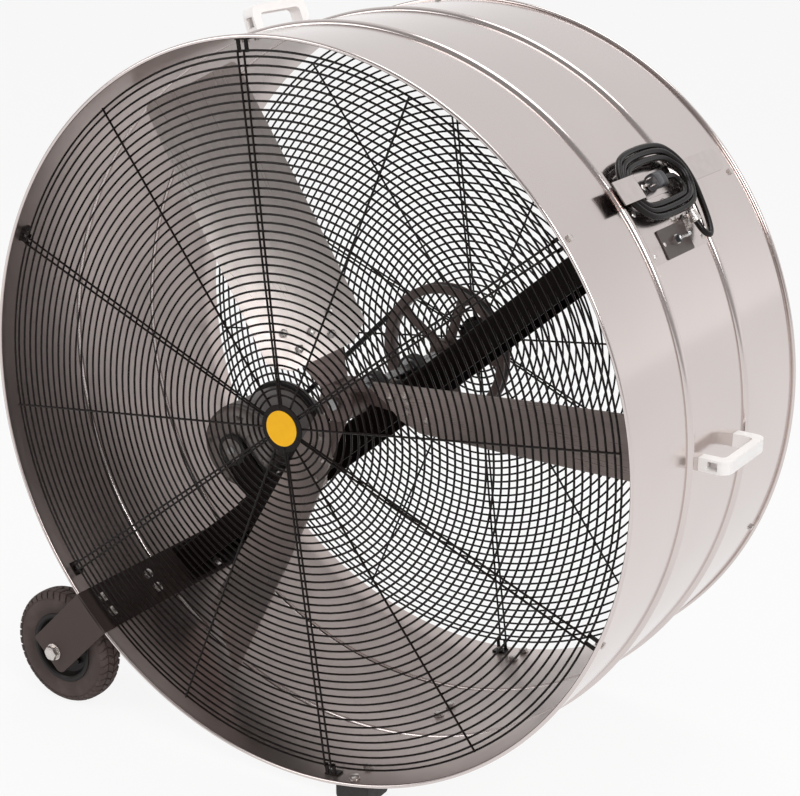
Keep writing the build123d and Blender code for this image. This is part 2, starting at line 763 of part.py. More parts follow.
def motor_rear_bell():
    y1 = MOTOR_Y1
    y0 = y1 - BELL_DEPTH
    inner = MOTOR_SHAFT_R + FIT
    body = turned((inner, y0), (MOTOR_REAR_R, y0), (MOTOR_REAR_R, y1 - 10), (MOTOR_REAR_R - 14, y1),
                  (MOTOR_BOSS_R, y1), (MOTOR_BOSS_R, y1 + MOTOR_BOSS), (inner, y1 + MOTOR_BOSS))
    return Pos(MOTOR) * body


def motor_rings():
    """Rubber rings that the motor's end bosses rest in."""
    inner = MOTOR_BOSS_R + SEAT
    front = MOTOR_Y0 - MOTOR_BOSS + 1
    rear = MOTOR_Y1 + MOTOR_BOSS - 1 - MOTOR_RING_LEN
    return Pos(MOTOR) * group([tube(MOTOR_RING_R, inner, y, y + MOTOR_RING_LEN) for y in (front, rear)])


def cradle_arm(y0):
    """Upright with a round saddle for one rubber ring."""
    low = -MOTOR_RISE + CRADLE_THICK
    upright = block(-CRADLE_ARM / 2, CRADLE_ARM / 2, y0, y0 + CRADLE_THICK, low - 1, 0)
    return upright - rod(MOTOR_RING_R + SEAT, y0 - 1, y0 + CRADLE_THICK + 1)


def motor_cradle():
    y0 = MOTOR_Y0 - MOTOR_BOSS + 3
    y1 = MOTOR_Y1 + MOTOR_BOSS - 3
    base = block(-CRADLE_WIDTH / 2, CRADLE_WIDTH / 2, y0, y1, -MOTOR_RISE, -MOTOR_RISE + CRADLE_THICK)
    body = base + cradle_arm(y0) + cradle_arm(y1 - CRADLE_THICK)
    body -= rod(MOTOR_REAR_R + 1, MOTOR_Y1 - BELL_DEPTH - 1, MOTOR_Y1 + 1)
    placed = Pos(MOTOR) * Rot(0, -BEAM_DEG, 0) * body
    return placed - [bore(place, BEAM_BOLT_R) for place in motor_bolt_places()]


def motor_bolt_places():
    top = -BEAM_DROP + CRADLE_THICK
    ys = (BEAM_Y0 + MOTOR_BOLT_Y[0], BEAM_Y0 + MOTOR_BOLT_Y[1])
    return [BEAM * Pos(MOTOR_U + side * (CRADLE_WIDTH / 2 - 12), y, top) for y in ys for side in (-1, 1)]


def motor_bolts():
    grip = CRADLE_THICK + BEAM_WALL
    return group([hex_bolt(place, grip, BEAM_BOLT_R * 0.8) for place in motor_bolt_places()])


def motor_shaft():
    """Shaft with the rotor core on it."""
    middle = MOTOR_Y0 + BELL_DEPTH + MOTOR_SHELL_LEN / 2
    half = STATOR_LEN / 2
    shaft = rod(MOTOR_SHAFT_R, MOTOR_Y0 - MOTOR_BOSS - 2, BELT_Y + PULLEY_WIDTH / 2 + 4)
    return Pos(MOTOR) * (shaft + rod(ROTOR_R, middle - half, middle + half))


def junction_u():
    return MOTOR_U + JUNCTION[0] / 2


def junction_box():
    top = -BEAM_DROP - BEAM_WALL
    long, wide, tall = JUNCTION
    body = block(junction_u() - long, junction_u(), BEAM_Y - wide / 2, BEAM_Y + wide / 2, top - tall, top)
    return BEAM * body


def lead_points():
    """The motor lead, clipped inside the channel and then bent across to the switch box."""
    v = -BEAM_DROP - BEAM_WALL - JUNCTION[2] / 2
    swing = BOX_DEG - BEAM_DEG
    end = direction(swing) * (box_top() - BOX[2])
    last = direction(swing) * (box_top() - BOX[2] - LEAD_RISE)
    return [(junction_u(), v), (last.X - LEAD_BEND, v), (last.X, last.Z), (end.X, end.Z)]


def motor_lead():
    points = [BEAM * Pos(u, BEAM_Y, v) for u, v in lead_points()]
    corners = [place.position for place in points]
    radii = fillet_radii(corners)
    print("motor lead radii", [round(r, 1) for r in radii])
    path = FilletPolyline(*corners, radius=radii)
    return cord_tube(path, LEAD_R)


def fillet_radii(corners):
    """Each bend as large as its two runs allow."""
    radii = []
    for a, b, c in zip(corners, corners[1:], corners[2:]):
        turn = math.radians((b - a).get_angle(c - b))
        radii.append(0.45 * min((b - a).length, (c - b).length) / math.tan(turn / 2))
    return [min(r, 400.0) for r in radii]


def cord_tube(path, radius):
    start = Plane(origin=path @ 0, z_dir=path % 0)
    solid = sweep(start.location * Circle(radius), path=path)
    ideal = math.pi * radius ** 2 * path.length
    print("tube length %.1f volume ratio %.4f" % (path.length, solid.volume / ideal))
    return solid


# ---------------- wheels ----------------
def bracket_bolt_places():
    places = []
    for y in BRACKET_BOLT_Y:
        for side in (-1, 1):
            places.append(inside(BRACKET_DEG + side * BRACKET_BOLT_HALF, y, INNER_R - BRACKET_THICK - SEAT))
    return places


def wheel_bracket():
    half = BRACKET_WIDTH / 2
    low = INNER_R - BRACKET_THICK
    half_deg = math.degrees(math.asin(half / low))
    y0 = -BRACKET_THICK - SEAT
    y1 = DRUM_DEPTH + BRACKET_THICK + SEAT
    body = curved_plate(low, INNER_R - SEAT, y0, y1, -half_deg, half_deg)
    body += bracket_ear(y0) + bracket_ear(y1 - BRACKET_THICK)
    body = Rot(0, -BRACKET_DEG, 0) * body
    holes = [bore(place, BRACKET_BOLT_R) for place in bracket_bolt_places()]
    holes += [bore(place, BEAM_BOLT_R) for place in lower_bolt_places()]
    return body - holes - Pos(AXLE) * rod(AXLE_R + 0.3, y0 - 5, y1 + 5)


def bracket_ear(y0):
    """Flat ear folded outwards over the rim; its outer corner is well rounded on one side."""
    half = BRACKET_WIDTH / 2
    low = INNER_R - BRACKET_THICK + 1
    plate = block(low, BRACKET_REACH, y0, y0 + BRACKET_THICK, -half, half)
    corners = plate.edges().filter_by(Axis.Y).group_by(Axis.X)[-1].sort_by(Axis.Z)
    return fillet(corners[0], BRACKET_CORNER)


def bracket_bolts():
    grip = BRACKET_THICK + SHEET + 3 * SEAT
    return group([hex_bolt(place, grip, BRACKET_BOLT_R) for place in bracket_bolt_places()])


def wheel_y():
    return WHEEL_GAP + WHEEL_HUB_LEN / 2


def tyre():
    """Knobbly tyre about y = 0."""
    half = TYRE_WIDTH / 2
    seat = RIM_SEAT_R + SEAT
    base = WHEEL_R - TREAD_DEPTH
    inner = WHEEL_RIM_WIDTH / 2 - 4
    body = turned((seat, -inner), (seat + 8, -inner - 1.5), (seat + 22, -half), (base - TYRE_SHOULDER, -half),
                  (base, -half + 4), (base, half - 4), (base - TYRE_SHOULDER, half), (seat + 22, half),
                  (seat + 8, inner + 1.5), (seat, inner))
    for row, wide in ((-1, 13.0), (0, 15.0), (1, 13.0)):
        body += tread_row(row, wide)
    return body


def tread_row(row, wide):
    """Ring of blocks; the middle row is set half a block round."""
    pitch = 360 / TREAD_COUNT
    gap = math.degrees(TREAD_GROOVE / WHEEL_R)
    middle = row * (TYRE_WIDTH / 2 - 1.5 - wide / 2)
    crown = WHEEL_R - abs(row) * 1.5
    deep = WHEEL_R - TREAD_DEPTH - TYRE_SHOULDER
    points = []
    for k in range(TREAD_COUNT):
        start = (k + 0.5 * (row == 0)) * pitch
        for radius, deg in ((deep, start), (crown, start), (crown, start + (pitch - gap) / 2),
                            (crown, start + pitch - gap), (deep, start + pitch - gap)):
            points.append((radius * math.cos(math.radians(deg)), radius * math.sin(math.radians(deg))))
    star = extrude(make_face(Polyline(*points, close=True)), wide / 2, both=True)
    star -= Cylinder(deep - 3, wide + 2)
    return Pos(0, middle, 0) * Rot(90, 0, 0) * star


def wheel_rim():
    """Dished steel rim about y = 0."""
    half = WHEEL_RIM_WIDTH / 2
    hub = WHEEL_HUB_LEN / 2
    bore_r = AXLE_R + FIT
    seat = RIM_SEAT_R
    return turned((bore_r, -hub), (WHEEL_HUB_R, -hub), (WHEEL_HUB_R, -7), (seat - 10, -7), (seat - 6, -half),
                  (seat + 4, -half), (seat + 4, -half + 2.5), (seat, -half + 2.5),
                  (seat, half - 2.5), (seat + 4, half - 2.5), (seat + 4, half), (seat - 6, half),
                  (seat - 10, 7), (WHEEL_HUB_R, 7), (WHEEL_HUB_R, hub), (bore_r, hub))


def at_wheel(shape):
    return Pos(AXLE.X, wheel_y(), AXLE.Z) * shape


def axle_rod():
    """Axle with a hexagon head and washer outside each ear, nuts inboard of each wheel."""
    y0 = -BRACKET_THICK - SEAT - WASHER_THICK
    y1 = DRUM_DEPTH - y0
    return Pos(AXLE) * rod(AXLE_R, y0 - AXLE_HEAD / 2, y1 + AXLE_HEAD / 2)


def axle_heads():
    """Hexagon head and washer outside each ear."""
    face = -BRACKET_THICK - 2 * SEAT
    washer = rod(WASHER_R, face - WASHER_THICK, face)
    head = Pos(0, face - WASHER_THICK - AXLE_HEAD, 0) * Rot(-90, 0, 0) * hex_prism(AXLE_ACROSS, AXLE_HEAD)
    cap = (washer + head) - rod(AXLE_R + FIT / 2, face - WASHER_THICK - AXLE_HEAD / 2, face + 1)
    cap = Pos(AXLE) * cap
    return [cap, to_rear(cap)]


def axle_nuts():
    """Washer outboard, washer and nut inboard of each wheel."""
    inner = AXLE_R + FIT / 2
    far = WHEEL_GAP + WHEEL_HUB_LEN + 0.3
    spacer = tube(WASHER_R - 2, inner, SEAT, WHEEL_GAP - 0.3)
    nut = Pos(0, far + 2, 0) * Rot(-90, 0, 0) * hex_prism(AXLE_ACROSS, 9)
    stop = (rod(WASHER_R, far, far + 2) + nut) - rod(inner, far - 1, far + 12)
    spacer = Pos(AXLE) * spacer
    stop = Pos(AXLE) * stop
    return [spacer, stop, to_rear(spacer), to_rear(stop)]


# ---------------- feet ----------------
def foot_ys():
    return FOOT_FRONT_Y, MID_Y, DRUM_DEPTH - FOOT_FRONT_Y


def foot_bolt_places():
    return [inside(FOOT_DEG, y + side * FOOT_BOLT_STEP) for y in foot_ys() for side in (-1, 1)]


def feet():
    x = DRUM_R * math.cos(math.radians(FOOT_DEG))
    top = -DRUM_R * 0.93
    half = FOOT_LENGTH / 2
    bodies = []
    for y in foot_ys():
        body = block(x - FOOT_WIDTH / 2, x + FOOT_WIDTH / 2, y - half, y + half, FLOOR, top)
        body = fillet(body.edges().filter_by(Axis.Z), 6)
        body -= rod(DRUM_R + SEAT, y - half - 1, y + half + 1)
        bodies.append(body - [bore(place, FOOT_BOLT_R, 18) for place in foot_bolt_places()])
    return group(bodies)


def foot_bolts():
    parts = []
    for place in foot_bolt_places():
        washer = pin(FOOT_BOLT_R * 2.4, 0.3, 2.0)
        head = Pos(0, 0, 2) * hex_prism(FOOT_BOLT_R * 3.4, FOOT_BOLT_R * 1.3)
        parts.append(place * (washer + head + pin(FOOT_BOLT_R, -14, 3)))
    return group(parts)


# ---------------- handles ----------------
def handle(deg):
    """Moulded bow: x along the drum, z outwards, with a screw recess in the end of each leg."""
    half = HANDLE_LENGTH / 2
    deep = HANDLE_DEPTH / 2
    hollow = half - HANDLE_LEG
    outer = block(-half, half, -deep, deep, SEAT, HANDLE_PROUD)
    outer = fillet(outer.edges().filter_by(Axis.Y).group_by(Axis.Z)[-1], HANDLE_CORNER)
    gap = block(-hollow, hollow, -2 * deep, 2 * deep, -1, HANDLE_PROUD - HANDLE_GRIP)
    gap = fillet(gap.edges().filter_by(Axis.Y).group_by(Axis.Z)[-1], HANDLE_CORNER / 2)
    body = fillet((outer - gap).edges().group_by(Axis.Z)[-1], 2.5)
    long, wide, tall = HANDLE_RECESS
    for side in (-1, 1):
        hole = pin(HANDLE_SCREW_R + HOLE, -1, HANDLE_FLOOR + 1)
        body -= Pos(side * half, 0, HANDLE_FLOOR + tall / 2) * Box(2 * long, wide, tall)
        body -= Pos(side * (half - HANDLE_SCREW_IN), 0, 0) * hole
    return wall(deg, HANDLE_Y) * body


def handle_screw_places():
    u = HANDLE_LENGTH / 2 - HANDLE_SCREW_IN
    lift = DRUM_R + HANDLE_FLOOR + SEAT
    return [wall(deg, HANDLE_Y + side * u, lift) for deg in HANDLE_DEG for side in (-1, 1)]


def handle_screws():
    """Screw heads in the recesses, shanks through the wall, nuts inside the drum."""
    grip = HANDLE_FLOOR + SHEET + 2 * SEAT
    parts = []
    for place in handle_screw_places():
        head = pin(HANDLE_SCREW_R * 1.6, 0, 3)
        nut = Pos(0, 0, -grip - 5) * hex_prism(HANDLE_SCREW_R * 3.4, 5)
        parts.append(place * (head + nut + pin(HANDLE_SCREW_R, -grip - 6, 1)))
    return group(parts)


# ---------------- cord, hook and switch ----------------
CORD_FRAME = wall(CORD_DEG, CORD_Y)
SWITCH_FRAME = wall(SWITCH_DEG, SWITCH_Y)


def hook_strap():
    """Strap along the drum: over the rear bead, up through the coil and over its side."""
    bead = BEADS[1] - CORD_Y
    low = [(STRAP_END, 0.0), (bead + BEAD_HALF + 4, 0.0), (bead + 5.5, BEAD_RISE + 0.1),
           (bead - 5.5, BEAD_RISE + 0.1), (bead - BEAD_HALF - 4, 0.0), (STRAP_FOOT, 0.0),
           (STRAP_TOP, TAB_W), (STRAP_TIP, TAB_W)]
    high = [(u, w + STRAP_THICK) for u, w in reversed(low)]
    face = make_face(Polyline(*[(u, w) for u, w in low + high], close=True))
    width = STRAP_V[1] - STRAP_V[0]
    solid = Rot(90, 0, 0) * extrude(face, -width)
    solid = fillet(solid.edges().filter_by(Axis.Z).group_by(Axis.X)[-1], STRAP_ROUND)
    placed = CORD_FRAME * Pos(0, STRAP_V[0], SEAT) * solid
    return placed - [bore(place, RIVET_R) for place in strap_screw_places()]


def strap_screw_places():
    v = (STRAP_V[0] + STRAP_V[1]) / 2
    return [CORD_FRAME * Pos(u, v, STRAP_THICK + 2 * SEAT) for u in STRAP_SCREW_U]


def mounting_plate():
    y0 = BEADS[0] + BEAD_HALF + PLATE_MARGIN
    y1 = BEADS[1] - BEAD_HALF - PLATE_MARGIN
    plate = curved_plate(DRUM_R + SEAT, DRUM_R + PLATE_THICK, y0, y1, *PLATE_DEG)
    cuts = [switch_hole(), relief_hole()] + [bore(place, RIVET_R) for place in plate_screw_places()]
    cuts += [bore(place, BEAM_BOLT_R) for place in upper_bolt_places()]
    cuts += [bore(place, COVER_SCREW_R) for place in cover_screw_places()]
    return plate - cuts


def switch_hole():
    return SWITCH_FRAME * block(-20, 20, -14, 14, -20, 20)


def relief_deg():
    """The connector's stem leaves the wall below the middle of its barrel."""
    return CORD_DEG + math.degrees((RELIEF_V[0] + RELIEF_V[1]) / 2 / DRUM_R)


def relief_hole():
    return wall(relief_deg(), CORD_Y + RELIEF_U) * pin(RELIEF_R - 1, -6, 20)


def plate_screw_places():
    y0 = BEADS[0] + BEAD_HALF + PLATE_MARGIN + 10
    y1 = BEADS[1] - BEAD_HALF - PLATE_MARGIN - 10
    rows = (PLATE_DEG[0] + 1.2, PLATE_DEG[1] - 1.0)
    return [wall(deg, y, DRUM_R + PLATE_THICK + SEAT) for deg in rows for y in (y0, y1)]


def cover_plate():
    plate = Pos(0, 0, PLATE_THICK + SEAT + COVER[2] / 2) * Box(*COVER)
    plate = fillet(plate.edges().filter_by(Axis.Z), 4)
    plate -= pin(BUSHING_R + 0.1, -30, 30)
    plate = SWITCH_FRAME * plate
    return plate - [bore(place, COVER_SCREW_R) for place in cover_screw_places()]


def cover_screw_places():
    z = PLATE_THICK + COVER[2] + 2 * SEAT
    return [SWITCH_FRAME * Pos(side * (COVER[0] / 2 - 7), 0, z) for side in (-1, 1)]


def panel_screws():
    parts = [dome_screw(place, PLATE_THICK + SHEET, RIVET_R * 0.9) for place in plate_screw_places()]
    parts += [dome_screw(place, STRAP_THICK + 4, RIVET_R) for place in strap_screw_places()]
    depth = PLATE_THICK + COVER[2] - SEAT
    parts += [dome_screw(place, depth, COVER_SCREW_R) for place in cover_screw_places()]
    return group(parts)


def box_top():
    """The flat-sided box stands clear of the curved wall at its edges."""
    return math.sqrt((INNER_R - SEAT) ** 2 - (BOX[1] / 2) ** 2)


def switch_box():
    """Steel box against the inside of the wall."""
    long, wide, deep = BOX
    shell = block(-long / 2, long / 2, -wide / 2, wide / 2, -deep, 0)
    u = long / 2 - BOX_WALL
    v = wide / 2 - BOX_WALL
    cavity = block(-u, u, -v, v, BOX_WALL - deep, 1)
    return wall(BOX_DEG, SWITCH_Y, box_top()) * (shell - cavity)


def switch_body():
    """Toggle switch: body in the box, threaded bushing through the cover."""
    under = PLATE_THICK
    body = block(-SWITCH_BODY[0] / 2, SWITCH_BODY[0] / 2, -SWITCH_BODY[1] / 2, SWITCH_BODY[1] / 2,
                 under - SWITCH_BODY[2], under)
    body += pin(BUSHING_R, under - 1, BUSHING_TOP)
    body -= Pos(0, 0, BUSHING_TOP - BALL_DEPTH) * Sphere(LEVER_BALL + BALL_GAP)
    body -= pivot(PIVOT_R + FIT, 2 * BUSHING_R + 2)
    return SWITCH_FRAME * body


def pivot(radius, long):
    """Cross pin that the lever turns on."""
    return Pos(0, 0, BUSHING_TOP - BALL_DEPTH) * Rot(90, 0, 0) * Cylinder(radius, long)


def switch_nut():
    low = PLATE_THICK + SEAT + COVER[2]
    nut = Pos(0, 0, low) * hex_prism(15, 3) - pin(BUSHING_R + FIT / 2, 0, 20)
    return SWITCH_FRAME * nut


def switch_lever():
    """Bat lever, at rest tilted towards the rear."""
    neck = 2.2
    end = 3.4
    profile = make_face(Polyline((0, 0), (neck, 0), (end, LEVER_LENGTH - 3), (end - 1.2, LEVER_LENGTH),
                                 (0, LEVER_LENGTH), close=True))
    bat = revolve(Rot(90, 0, 0) * profile, Axis.Z)
    lever = Rot(0, LEVER_TILT, 0) * (bat + Sphere(LEVER_BALL))
    lever = Pos(0, 0, BUSHING_TOP - BALL_DEPTH) * lever + pivot(PIVOT_R, 2 * BUSHING_R - 1)
    return SWITCH_FRAME * lever


def strain_relief():
    """Elbow connector for the cord: lock ring on the plate, barrel facing down the drum."""
    v0, v1 = RELIEF_V
    low = PLATE_THICK + SEAT
    stem = pin(RELIEF_RING, low, low + 3) + pin(RELIEF_R - 1.5, -8, CORD_W + 2)
    stem = wall(relief_deg(), CORD_Y + RELIEF_U) * stem
    barrel = Pos(0, (v0 + v1) / 2, CORD_W) * Rot(90, 0, 0) * Cylinder(RELIEF_R, v0 - v1)
    clamp = Pos(0, v1 + 5, CORD_W) * Box(2 * RELIEF_R + 5, 5, 9)
    return stem + CORD_FRAME * Pos(RELIEF_U, 0, 0) * (barrel + clamp)


def tail_points():
    """From the connector down, round a tight turn, and up to the coil; (u, v) on the cord's plane."""
    u0 = RELIEF_U
    u1 = COIL_RIGHT + COIL_R
    return [(u0, RELIEF_V[1]), (u0, -92.5), (63.0, -103.5), (80.0, -95.0), (97.0, -77.0), (111.0, -50.0),
            (u1, -27.0), (u1, -CORD_DIA)]


def cord_tail():
    corners = [(CORD_FRAME * Pos(u, v, CORD_W)).position for u, v in tail_points()]
    radii = fillet_radii(corners)
    print("cord tail radii", [round(r, 1) for r in radii])
    return cord_tube(FilletPolyline(*corners, radius=radii), CORD_DIA / 2)


def coil_edges():
    """Oval spiral of half turns joined by straights, ending with a turn into its middle."""
    ends = {-1: COIL_LEFT, 1: COIL_RIGHT}
    v = COIL_R
    start = (COIL_RIGHT + v, 0)
    edges = [Line((start[0], -CORD_DIA), start), quarter_arc(start, (COIL_RIGHT, v), (COIL_RIGHT, 0))]
    side = -1
    for k in range(1, COIL_HALVES + 1):
        radius = COIL_R - k * COIL_PITCH / 2
        u = ends[side]
        nxt = v + side * 2 * radius
        edges.append(Line((ends[-side], v), (u, v)))
        edges.append(ThreePointArc((u, v), (u + side * radius, (v + nxt) / 2), (u, nxt)))
        v = nxt
        side = -side
    radius = (PLUG_V - v) / 2
    u = COIL_RIGHT
    edges.append(Line((COIL_LEFT, v), (u, v)))
    edges.append(ThreePointArc((u, v), (u + radius, v + radius), (u, PLUG_V)))
    edges.append(Line((u, PLUG_V), (PLUG_U, PLUG_V)))
    return edges


def quarter_arc(start, end, centre):
    radius = math.hypot(start[0] - centre[0], start[1] - centre[1])
    half = radius * math.sqrt(0.5)
    return ThreePointArc(start, (centre[0] + half, centre[1] + half), end)


def self_gap(edges, radius):
    """Least distance between stretches of the coil that are not neighbours along it."""
    spots = []
    run = 0.0
    for edge in edges:
        count = max(2, int(edge.length / 2))
        for k in range(count):
            point = edge @ (k / count)
            spots.append((run + edge.length * k / count, point.X, point.Y))
        run += edge.length
    least = 1e9
    for i, (s, x, y) in enumerate(spots):
        for t, p, q in spots[i + 1:]:
            if t - s > 40:
                least = min(least, math.hypot(x - p, y - q))
    return least - 2 * radius


def cord_coil():
    edges = coil_edges()
    print("coil gap to itself %.2f" % self_gap(edges, CORD_DIA / 2))
    path = Wire([CORD_FRAME * Pos(0, 0, CORD_W) * edge for edge in edges])
    return cord_tube(path, CORD_DIA / 2)


def plug():
    u = PLUG_U
    long, wide, tall = PLUG
    body = block(u - long, u, PLUG_V - wide / 2, PLUG_V + wide / 2, CORD_W - tall / 2, CORD_W + tall / 2)
    body = fillet(body.edges().filter_by(Axis.X), 5)
    body = chamfer(body.faces().sort_by(Axis.X)[-1].edges(), 4)
    tip = u - long
    length, thick, high = PRONG
    for side in (-1, 1):
        v = PLUG_V + side * 6.3
        body += block(tip - length, tip + 2, v - thick / 2, v + thick / 2, CORD_W, CORD_W + high)
    pin_place = Pos(tip - length / 2, PLUG_V, CORD_W - 5) * Rot(0, 90, 0)
    body += pin_place * Cylinder(2.4, length + 4)
    return CORD_FRAME * body


def drum_shell():
    drum = revolve(drum_section(), ROUND)
    holes = [bore(place, RIVET_R) for place in guard_screw_places()]
    holes += [bore(place, BRACKET_BOLT_R) for place in bracket_bolt_places()]
    holes += [bore(place, BEAM_BOLT_R) for place in lower_bolt_places() + upper_bolt_places()]
    holes += [bore(place, FOOT_BOLT_R) for place in foot_bolt_places()]
    holes += [bore(place, HANDLE_SCREW_R, 2 * HANDLE_FLOOR) for place in handle_screw_places()]
    holes += [bore(place, RIVET_R) for place in plate_screw_places() + strap_screw_places()]
    return drum - holes - switch_hole() - relief_hole()


def main():
    os.makedirs("parts", exist_ok=True)
    save("drum_shell", drum_shell())
    save("seam_strip", seam_strip())
    guard = front_guard()
    save("front_guard", guard)
    save("rear_guard", to_rear(guard))
    save("guard_clips", guard_clips())
    save("guard_screws", guard_screws())
    save("front_center_plate", center_plate())
    save("rear_center_plate", to_rear(center_plate()))
    save("badge_disc", badge_disc())
    save("right_handle", handle(HANDLE_DEG[0]))
    save("top_handle", handle(HANDLE_DEG[1]))
    save("handle_screws", handle_screws())
    save("cross_channel", channel())
    save("channel_end_pads", channel_end_pads())
    save("channel_bolts", channel_bolts())
    save("front_bearing_housing", bearing_housing(FRONT_BEARING_Y))
    save("rear_bearing_housing", bearing_housing(REAR_BEARING_Y))
    save("bearing_bolts", bearing_bolts())
    save("fan_shaft", fan_shaft())
    save("bearing_inserts", bearing_inserts())
    save("fan_hub", fan_hub())
    for number, deg in enumerate(blade_angles(), 1):
        save("blade_%d" % number, blade(deg))
    save("blade_bolts", blade_bolts())
    save("driven_pulley", driven_pulley())
    save("drive_belt", drive_belt())
    save("motor_shell", motor_shell())
    save("motor_stator", motor_stator())
    save("motor_front_bell", motor_front_bell())
    save("motor_rear_bell", motor_rear_bell())
    save("motor_rings", motor_rings())
    save("motor_cradle", motor_cradle())
    save("motor_bolts", motor_bolts())
    save("motor_shaft", motor_shaft())
    save("motor_pulley", motor_pulley())
    save("motor_junction_box", junction_box())
    save("motor_lead", motor_lead())
    save("wheel_bracket", wheel_bracket())
    save("wheel_bracket_bolts", bracket_bolts())
    save("axle_rod", axle_rod())
    save("axle_fasteners", group(axle_heads() + axle_nuts()))
    front_tyre = at_wheel(tyre())
    front_rim = at_wheel(wheel_rim())
    save("front_tyre", front_tyre)
    save("front_rim", front_rim)
    save("rear_tyre", to_rear(front_tyre))
    save("rear_rim", to_rear(front_rim))
    save("feet", feet())
    save("foot_bolts", foot_bolts())
    save("cord_hook_strap", hook_strap())
    save("switch_mounting_plate", mounting_plate())
    save("switch_cover_plate", cover_plate())
    save("panel_screws", panel_screws())
    save("switch_box", switch_box())
    save("switch_body", switch_body())
    save("switch_nut", switch_nut())
    save("switch_lever", switch_lever())
    save("strain_relief", strain_relief())
    save("cord_tail", cord_tail())
    save("cord_coil", cord_coil())
    save("plug", plug())


if __name__ == "__main__":
    main()
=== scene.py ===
"""A belt-driven drum fan on two wheels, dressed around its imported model.

Lengths are in metres.  Most pieces are worked out in drum space: the origin is on the fan axis in
the plane of the front rim, x points right, y runs back through the drum and z points up.
"""

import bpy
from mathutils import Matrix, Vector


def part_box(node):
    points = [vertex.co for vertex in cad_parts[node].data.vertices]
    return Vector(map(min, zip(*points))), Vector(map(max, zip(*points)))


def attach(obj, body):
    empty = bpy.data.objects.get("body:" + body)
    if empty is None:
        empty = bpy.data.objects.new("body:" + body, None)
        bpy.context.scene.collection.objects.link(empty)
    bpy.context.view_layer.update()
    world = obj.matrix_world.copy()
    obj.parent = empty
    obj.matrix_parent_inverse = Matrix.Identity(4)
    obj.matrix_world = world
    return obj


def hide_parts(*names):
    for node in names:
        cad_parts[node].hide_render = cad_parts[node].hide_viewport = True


bl_info = {
    "name": "Drum Fan",
    "version": (1, 0, 0),
    "blender": (4, 5, 0),
    "location": "View3D > Sidebar > Drum Fan",
    "description": "Builds the pieces of a belt-driven drum fan with guards, wheels and a coiled cord",
    "category": "Add Mesh",
}

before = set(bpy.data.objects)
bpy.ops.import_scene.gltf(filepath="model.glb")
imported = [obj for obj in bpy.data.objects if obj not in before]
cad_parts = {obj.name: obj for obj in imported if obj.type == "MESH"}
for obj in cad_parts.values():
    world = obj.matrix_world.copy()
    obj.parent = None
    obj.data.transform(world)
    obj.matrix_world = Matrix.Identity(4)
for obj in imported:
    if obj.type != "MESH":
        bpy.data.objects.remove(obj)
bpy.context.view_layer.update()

import math

import bmesh
import bpy
from bpy.props import FloatProperty, FloatVectorProperty, IntProperty, PointerProperty
from bpy.types import Operator, Panel, PropertyGroup
from mathutils import Matrix, Vector

SHAFT_LOW, SHAFT_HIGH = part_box("fan_shaft")
DRUM_LOW, DRUM_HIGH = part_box("drum_shell")
AXIS = Vector(((SHAFT_LOW.x + SHAFT_HIGH.x) / 2, DRUM_LOW.y, (SHAFT_LOW.z + SHAFT_HIGH.z) / 2))
DEPTH = DRUM_HIGH.y - DRUM_LOW.y
MIDDLE = DEPTH / 2
DRUM_RADIUS = 0.622
SHEET = 0.0015

X = Vector((1, 0, 0))
Y = Vector((0, 1, 0))
Z = Vector((0, 0, 1))


# ---------------- sizes and colours ----------------
def length(name, about, default):
    return FloatProperty(name=name, description=about, default=default, unit="LENGTH", precision=4)


def angle(name, about, degrees):
    return FloatProperty(name=name, description=about, default=math.radians(degrees), unit="ROTATION")


def linear(level):
    """Share of light for a level from 0 to 255 as it looks on a screen."""
    value = level / 255
    return value / 12.92 if value < 0.04 else ((value + 0.055) / 1.055) ** 2.4


def colour(name, about, red, green, blue):
    """Colour property whose default is given as it looks, from 0 to 255."""
    shades = [linear(level) for level in (red, green, blue)]
    return FloatVectorProperty(name=name, description=about, subtype="COLOR", min=0, max=1, default=shades)


class DrumSizes(PropertyGroup):
    radius: length("Radius", "Outer radius of the drum sheet", DRUM_RADIUS)
    sheet: length("Sheet", "Thickness of the drum sheet", SHEET)
    bead_rise: length("Bead rise", "How far each stiffening bead stands out", 0.0065)
    bead_half: length("Bead half width", "Half the width of a bead", 0.008)
    bead_offset: length("Bead offset", "Distance of each bead from mid depth", 0.104)
    rim: length("Rim wire", "Radius of the wired edge", 0.0035)


class GuardSizes(PropertyGroup):
    wire: length("Wire", "Thickness of a guard wire", 0.0037)
    first: length("First ring", "Radius of the smallest ring", 0.0535)
    pitch: length("Ring pitch", "Distance between rings", 0.01356)
    last: length("Last ring", "Radius of the largest ring", 0.601)
    edge: length("Edge depth", "Depth of the edge behind the rim", 0.012)
    rise: length("Rise", "How far the middle stands forward of the edge", 0.0095)
    pair_rim: length("Pair gap at rim", "Gap of a pair of spokes at the rim", 0.0125)
    pair_hub: length("Pair gap at hub", "Gap of a pair of spokes at the middle", 0.004)
    plate: length("Middle plate", "Radius of the round plate", 0.040)
    badge: length("Badge", "Radius of the coloured disc", 0.030)


class BladeSizes(PropertyGroup):
    heel: length("Heel", "Radius of the narrow end of a blade", 0.081)
    root: length("Root", "Radius where the blade reaches full width", 0.106)
    tip: length("Tip", "Radius of the blade tip", 0.594)
    chord_heel: length("Heel chord", "Width of the heel", 0.116)
    chord_root: length("Root chord", "Width at the root", 0.183)
    chord_tip: length("Tip chord", "Width at the tip", 0.172)
    pitch_root: angle("Root pitch", "Pitch at the root", 46.7)
    pitch_tip: angle("Tip pitch", "Pitch at the tip", 32.4)
    thick: length("Thickness", "Thickness of the blade sheet", 0.0025)
    bow: length("Bow", "Bend radius of the blade sheet", 0.700)
    start: angle("Start", "Angle of the first blade", 1.7)


